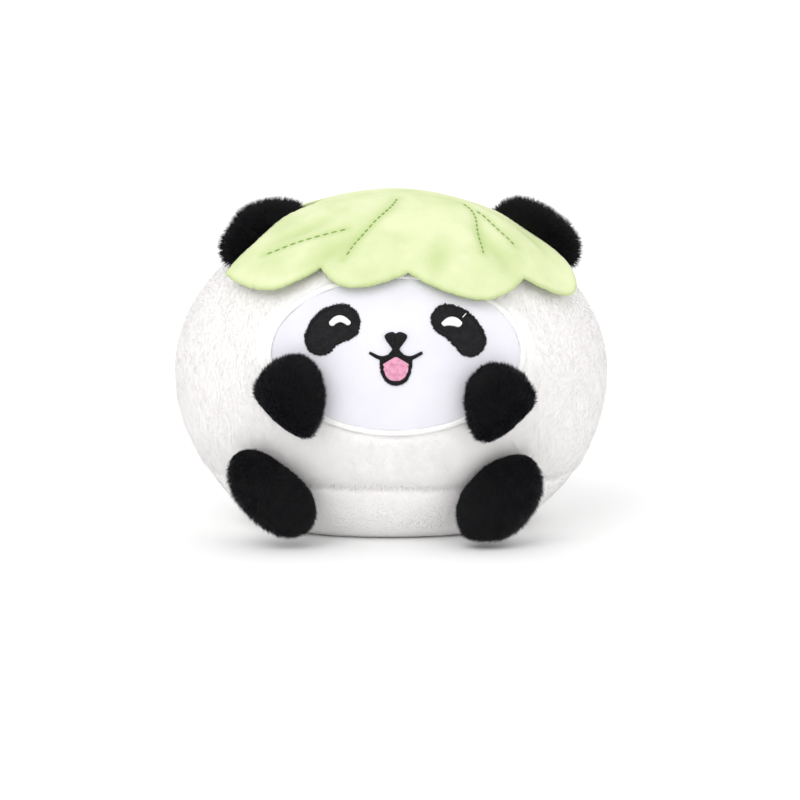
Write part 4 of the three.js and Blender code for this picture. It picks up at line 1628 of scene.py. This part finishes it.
    def drape(self, flat: Array, edge: Array) -> Array:
        """The height of the leaf's upper face above the bun.

        Args:
            flat: flat pattern points.
            edge: their distances from the outline.

        Returns:
            One height per point: a base height, lifted towards the front rim where the lobes hang free,
            waved round the head, sunk along the veins and rolled down over the last millimetre.
        """
        reach = np.linalg.norm(flat, axis=1) / PATTERN_SCALE
        azimuth = np.degrees(np.arctan2(flat[:, 0], -flat[:, 1]))
        front = blend(115, 60, np.abs(azimuth))
        out = blend(0.55, 1.05, reach)
        cusps = np.array([c[0] for c in self.notches[1:-1]])
        notch = np.exp(-((np.abs(azimuth[:, None] - cusps).min(1) / 7.0) ** 2))
        free = self.flare * front * out * (1 - 0.75 * notch)
        place = np.stack([flat[:, 0], flat[:, 1], 0 * reach], axis=1)
        waves = (0.5 * ripple(place, 24.0, 8) + 0.2 * ripple(place, 9.0, 9)) * blend(0.2, 0.7, reach)
        roll = -self.roll_depth * np.clip(1 - edge / 0.5, 0, 1) ** 2
        sunk = self.height + free + waves - self.vein_depth * self.crease(flat)
        return sunk - self.fold_depth * self.soft_folds(flat) + roll

    def bend(self, piece: bpy.types.Object) -> None:
        """Bakes the piece's transform into its mesh."""
        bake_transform(piece)

    def build(self) -> None:
        """Builds the cloth and the stitched veins."""
        outline = evenly(self.flat(self.outline()), self.rim_pitch, True)[0]
        rng = np.random.default_rng(7)
        outline = outline + rng.uniform(-self.fray, self.fray, outline.shape)
        pattern = Pattern.cut(outline, [], self.pitch)
        flat = pattern.points
        chart = Chart(Pole.CROWN)
        direction = chart.lift(flat)
        upper = self.drape(flat, pattern.edge)
        thin = self.thickness * (1 - 0.3 * np.clip(1 - pattern.edge / 0.5, 0, 1))
        points, faces = pattern.closed(BUN.place(direction, upper), BUN.place(direction, upper - thin))
        piece = make_piece("leaf_hat", points, faces, [LEAF_CLOTH.material()])
        # Painted shade: darker along the veins' valleys, in the soft folds and at the turned rim, and at
        # least 0.6 on the underside.
        rim = np.exp(-((pattern.edge / 0.8) ** 2))
        painted_fold_shade = np.clip(0.6 * self.crease(flat) + 0.6 * rim + 0.6 * self.soft_folds(flat), 0, 1)
        put_attribute(piece, "painted_fold_shade", np.concatenate([painted_fold_shade, np.maximum(painted_fold_shade, 0.6)]))
        self.bend(piece)
        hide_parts("leaf_cloth_front", "leaf_cloth_rear", "leaf_lining_front", "leaf_lining_rear")
        size = (np.ptp(outline[:, 0]) * MM, np.ptp(outline[:, 1]) * MM)
        wide, deep = size[0] / MM, size[1] / MM
        LOG.info("leaf_cloth: %d faces, %.0f by %.0f mm", len(piece.data.polygons), wide, deep)
        for (name, body, _), path in zip(self.veins, self.vein_paths()):
            self.stitch_vein(f"leaf_vein_{name}", body, path)

    def stitch_vein(self, name: str, body: str, path: Array) -> None:
        """Sews one vein as a row of short stitches, end to end along its valley.

        Args:
            name: the vein's CAD node.
            body: the body that it rides on when this is body; with any other name, its transform is only
                baked.
            path: its flat path.
        """
        rings, around = 7, 6
        place, across = evenly(path, self.stitch_pitch, False)
        count = len(place) - len(place) % rings
        place, across = place[:count], across[:count]
        share = (np.arange(count) % rings) / (rings - 1)
        bed = self.drape(place, np.full(count, 9.0)) - self.stitch_sink
        middle = bed + self.stitch_radius * np.sin(np.pi * share)
        turn = np.linspace(0, 2 * np.pi, around, endpoint=False)
        radius = self.stitch_radius * np.sqrt(np.clip(1 - (2 * share - 1) ** 6, 0.02, 1))
        flat = place[:, None] + across[:, None] * (radius[:, None] * np.cos(turn))[..., None]
        height = middle[:, None] + radius[:, None] * np.sin(turn)
        tube = BUN.place(Chart(Pole.CROWN).lift(flat.reshape(-1, 2)), height.ravel())
        first = np.arange(count // rings)[:, None, None] * (rings * around)
        spots = np.arange(around)
        caps = np.stack([spots[::-1], spots + (rings - 1) * around])
        faces = [(ring_quads(rings, around)[None] + first).reshape(-1, 4)]
        faces.append((caps[None] + first).reshape(-1, around))
        piece = outward(make_piece(f"{name}_stitches", tube, faces, [LEAF_THREAD.material()]))
        if body == "body":
            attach(piece, "body")
        else:
            self.bend(piece)
        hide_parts(name)


# ---- Studio --------------------------------------------------------------------------------------------


@dataclass
class Studio:
    """A pale floor, soft light and the camera."""

    lens: float = 110.0
    elevation: float = 8.0
    distance: float = 0.6356
    aim: tuple[float, float, float] = (0.0023, 0.0032, 0.0315)
    front_glow: float = 0.96
    back_glow: float = 1.05
    floor_size: float = 60000.0

    def build(self) -> None:
        """Sets the floor, the lights and the camera."""
        self.lay_floor()
        self.sun("key_light", (-0.55, -0.8, 0.95), 45.0, 0.87)
        self.sun("fill_light", (0.8, -0.6, 0.5), 90.0, 0.38)
        self.glow()
        bpy.context.scene.view_settings.view_transform = "Standard"
        self.place_camera()

    def lay_floor(self) -> None:
        """Lays a wide pale floor whose colour drifts very slightly."""
        size = self.floor_size
        corners = np.array([[-size, -size, 0], [size, -size, 0], [size, size, 0], [-size, size, 0]])
        finish = ClothFinish(
            "pale_floor", (247, 247, 247), (252, 252, 252), drift=0.5, nap=0.01, depth=0.0, sheen=0.0
        )
        floor = make_piece("floor", corners, [np.array([[0, 1, 2, 3]])], [finish.material()])

    def sun(self, name: str, place: tuple[float, float, float], spread: float, power: float) -> None:
        """Sets a wide, even light that shines from a place towards the toy."""
        lamp = bpy.data.lights.new(name, "SUN")
        lamp.angle, lamp.energy = math.radians(spread), power
        holder = bpy.data.objects.new(name, lamp)
        holder.location = place
        holder.rotation_euler = (-Vector(place)).to_track_quat("-Z", "Y").to_euler()
        bpy.context.collection.objects.link(holder)

    def glow(self) -> None:
        """Fills the air with white light, brighter from behind the toy than from the front."""
        world = bpy.data.worlds.new("studio_air")
        bpy.context.scene.world = world
        world.use_nodes = True
        nodes, links = world.node_tree.nodes, world.node_tree.links
        place = nodes.new("ShaderNodeTexCoord")
        split = nodes.new("ShaderNodeSeparateXYZ")
        spread = nodes.new("ShaderNodeMapRange")
        spread.interpolation_type = "SMOOTHSTEP"
        spread.inputs["From Min"].default_value = 0.2
        spread.inputs["From Max"].default_value = 0.95
        spread.inputs["To Min"].default_value = self.front_glow
        spread.inputs["To Max"].default_value = self.back_glow
        links.new(place.outputs["Generated"], split.inputs["Vector"])
        links.new(split.outputs["Y"], spread.inputs["Value"])
        links.new(spread.outputs["Result"], nodes["Background"].inputs["Strength"])
        nodes["Background"].inputs["Color"].default_value = (1.0, 1.0, 1.0, 1.0)

    def place_camera(self) -> None:
        """Stands the camera in front of the toy, slightly above it."""
        camera = bpy.data.cameras.new("camera")
        camera.lens, camera.sensor_width = self.lens, 36.0
        camera.clip_start, camera.clip_end = 0.01, 50.0
        holder = bpy.data.objects.new("camera", camera)
        tilt = math.radians(self.elevation)
        aim = Vector(self.aim)
        holder.location = aim + Vector((0, -math.cos(tilt), math.sin(tilt))) * self.distance
        holder.rotation_euler = (math.radians(90 - self.elevation), 0, 0)
        bpy.context.collection.objects.link(holder)
        bpy.context.scene.camera = holder


def main() -> None:
    """Builds the toy's pieces in order, then the studio."""
    logging.basicConfig(level=logging.INFO, format="%(message)s")
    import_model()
    cloth = BodyCloth()
    cloth.build()
    Face().build(cloth)
    Limbs().build()
    Leaf().build()
    Studio().build()


if __name__ == "__main__":
    main()
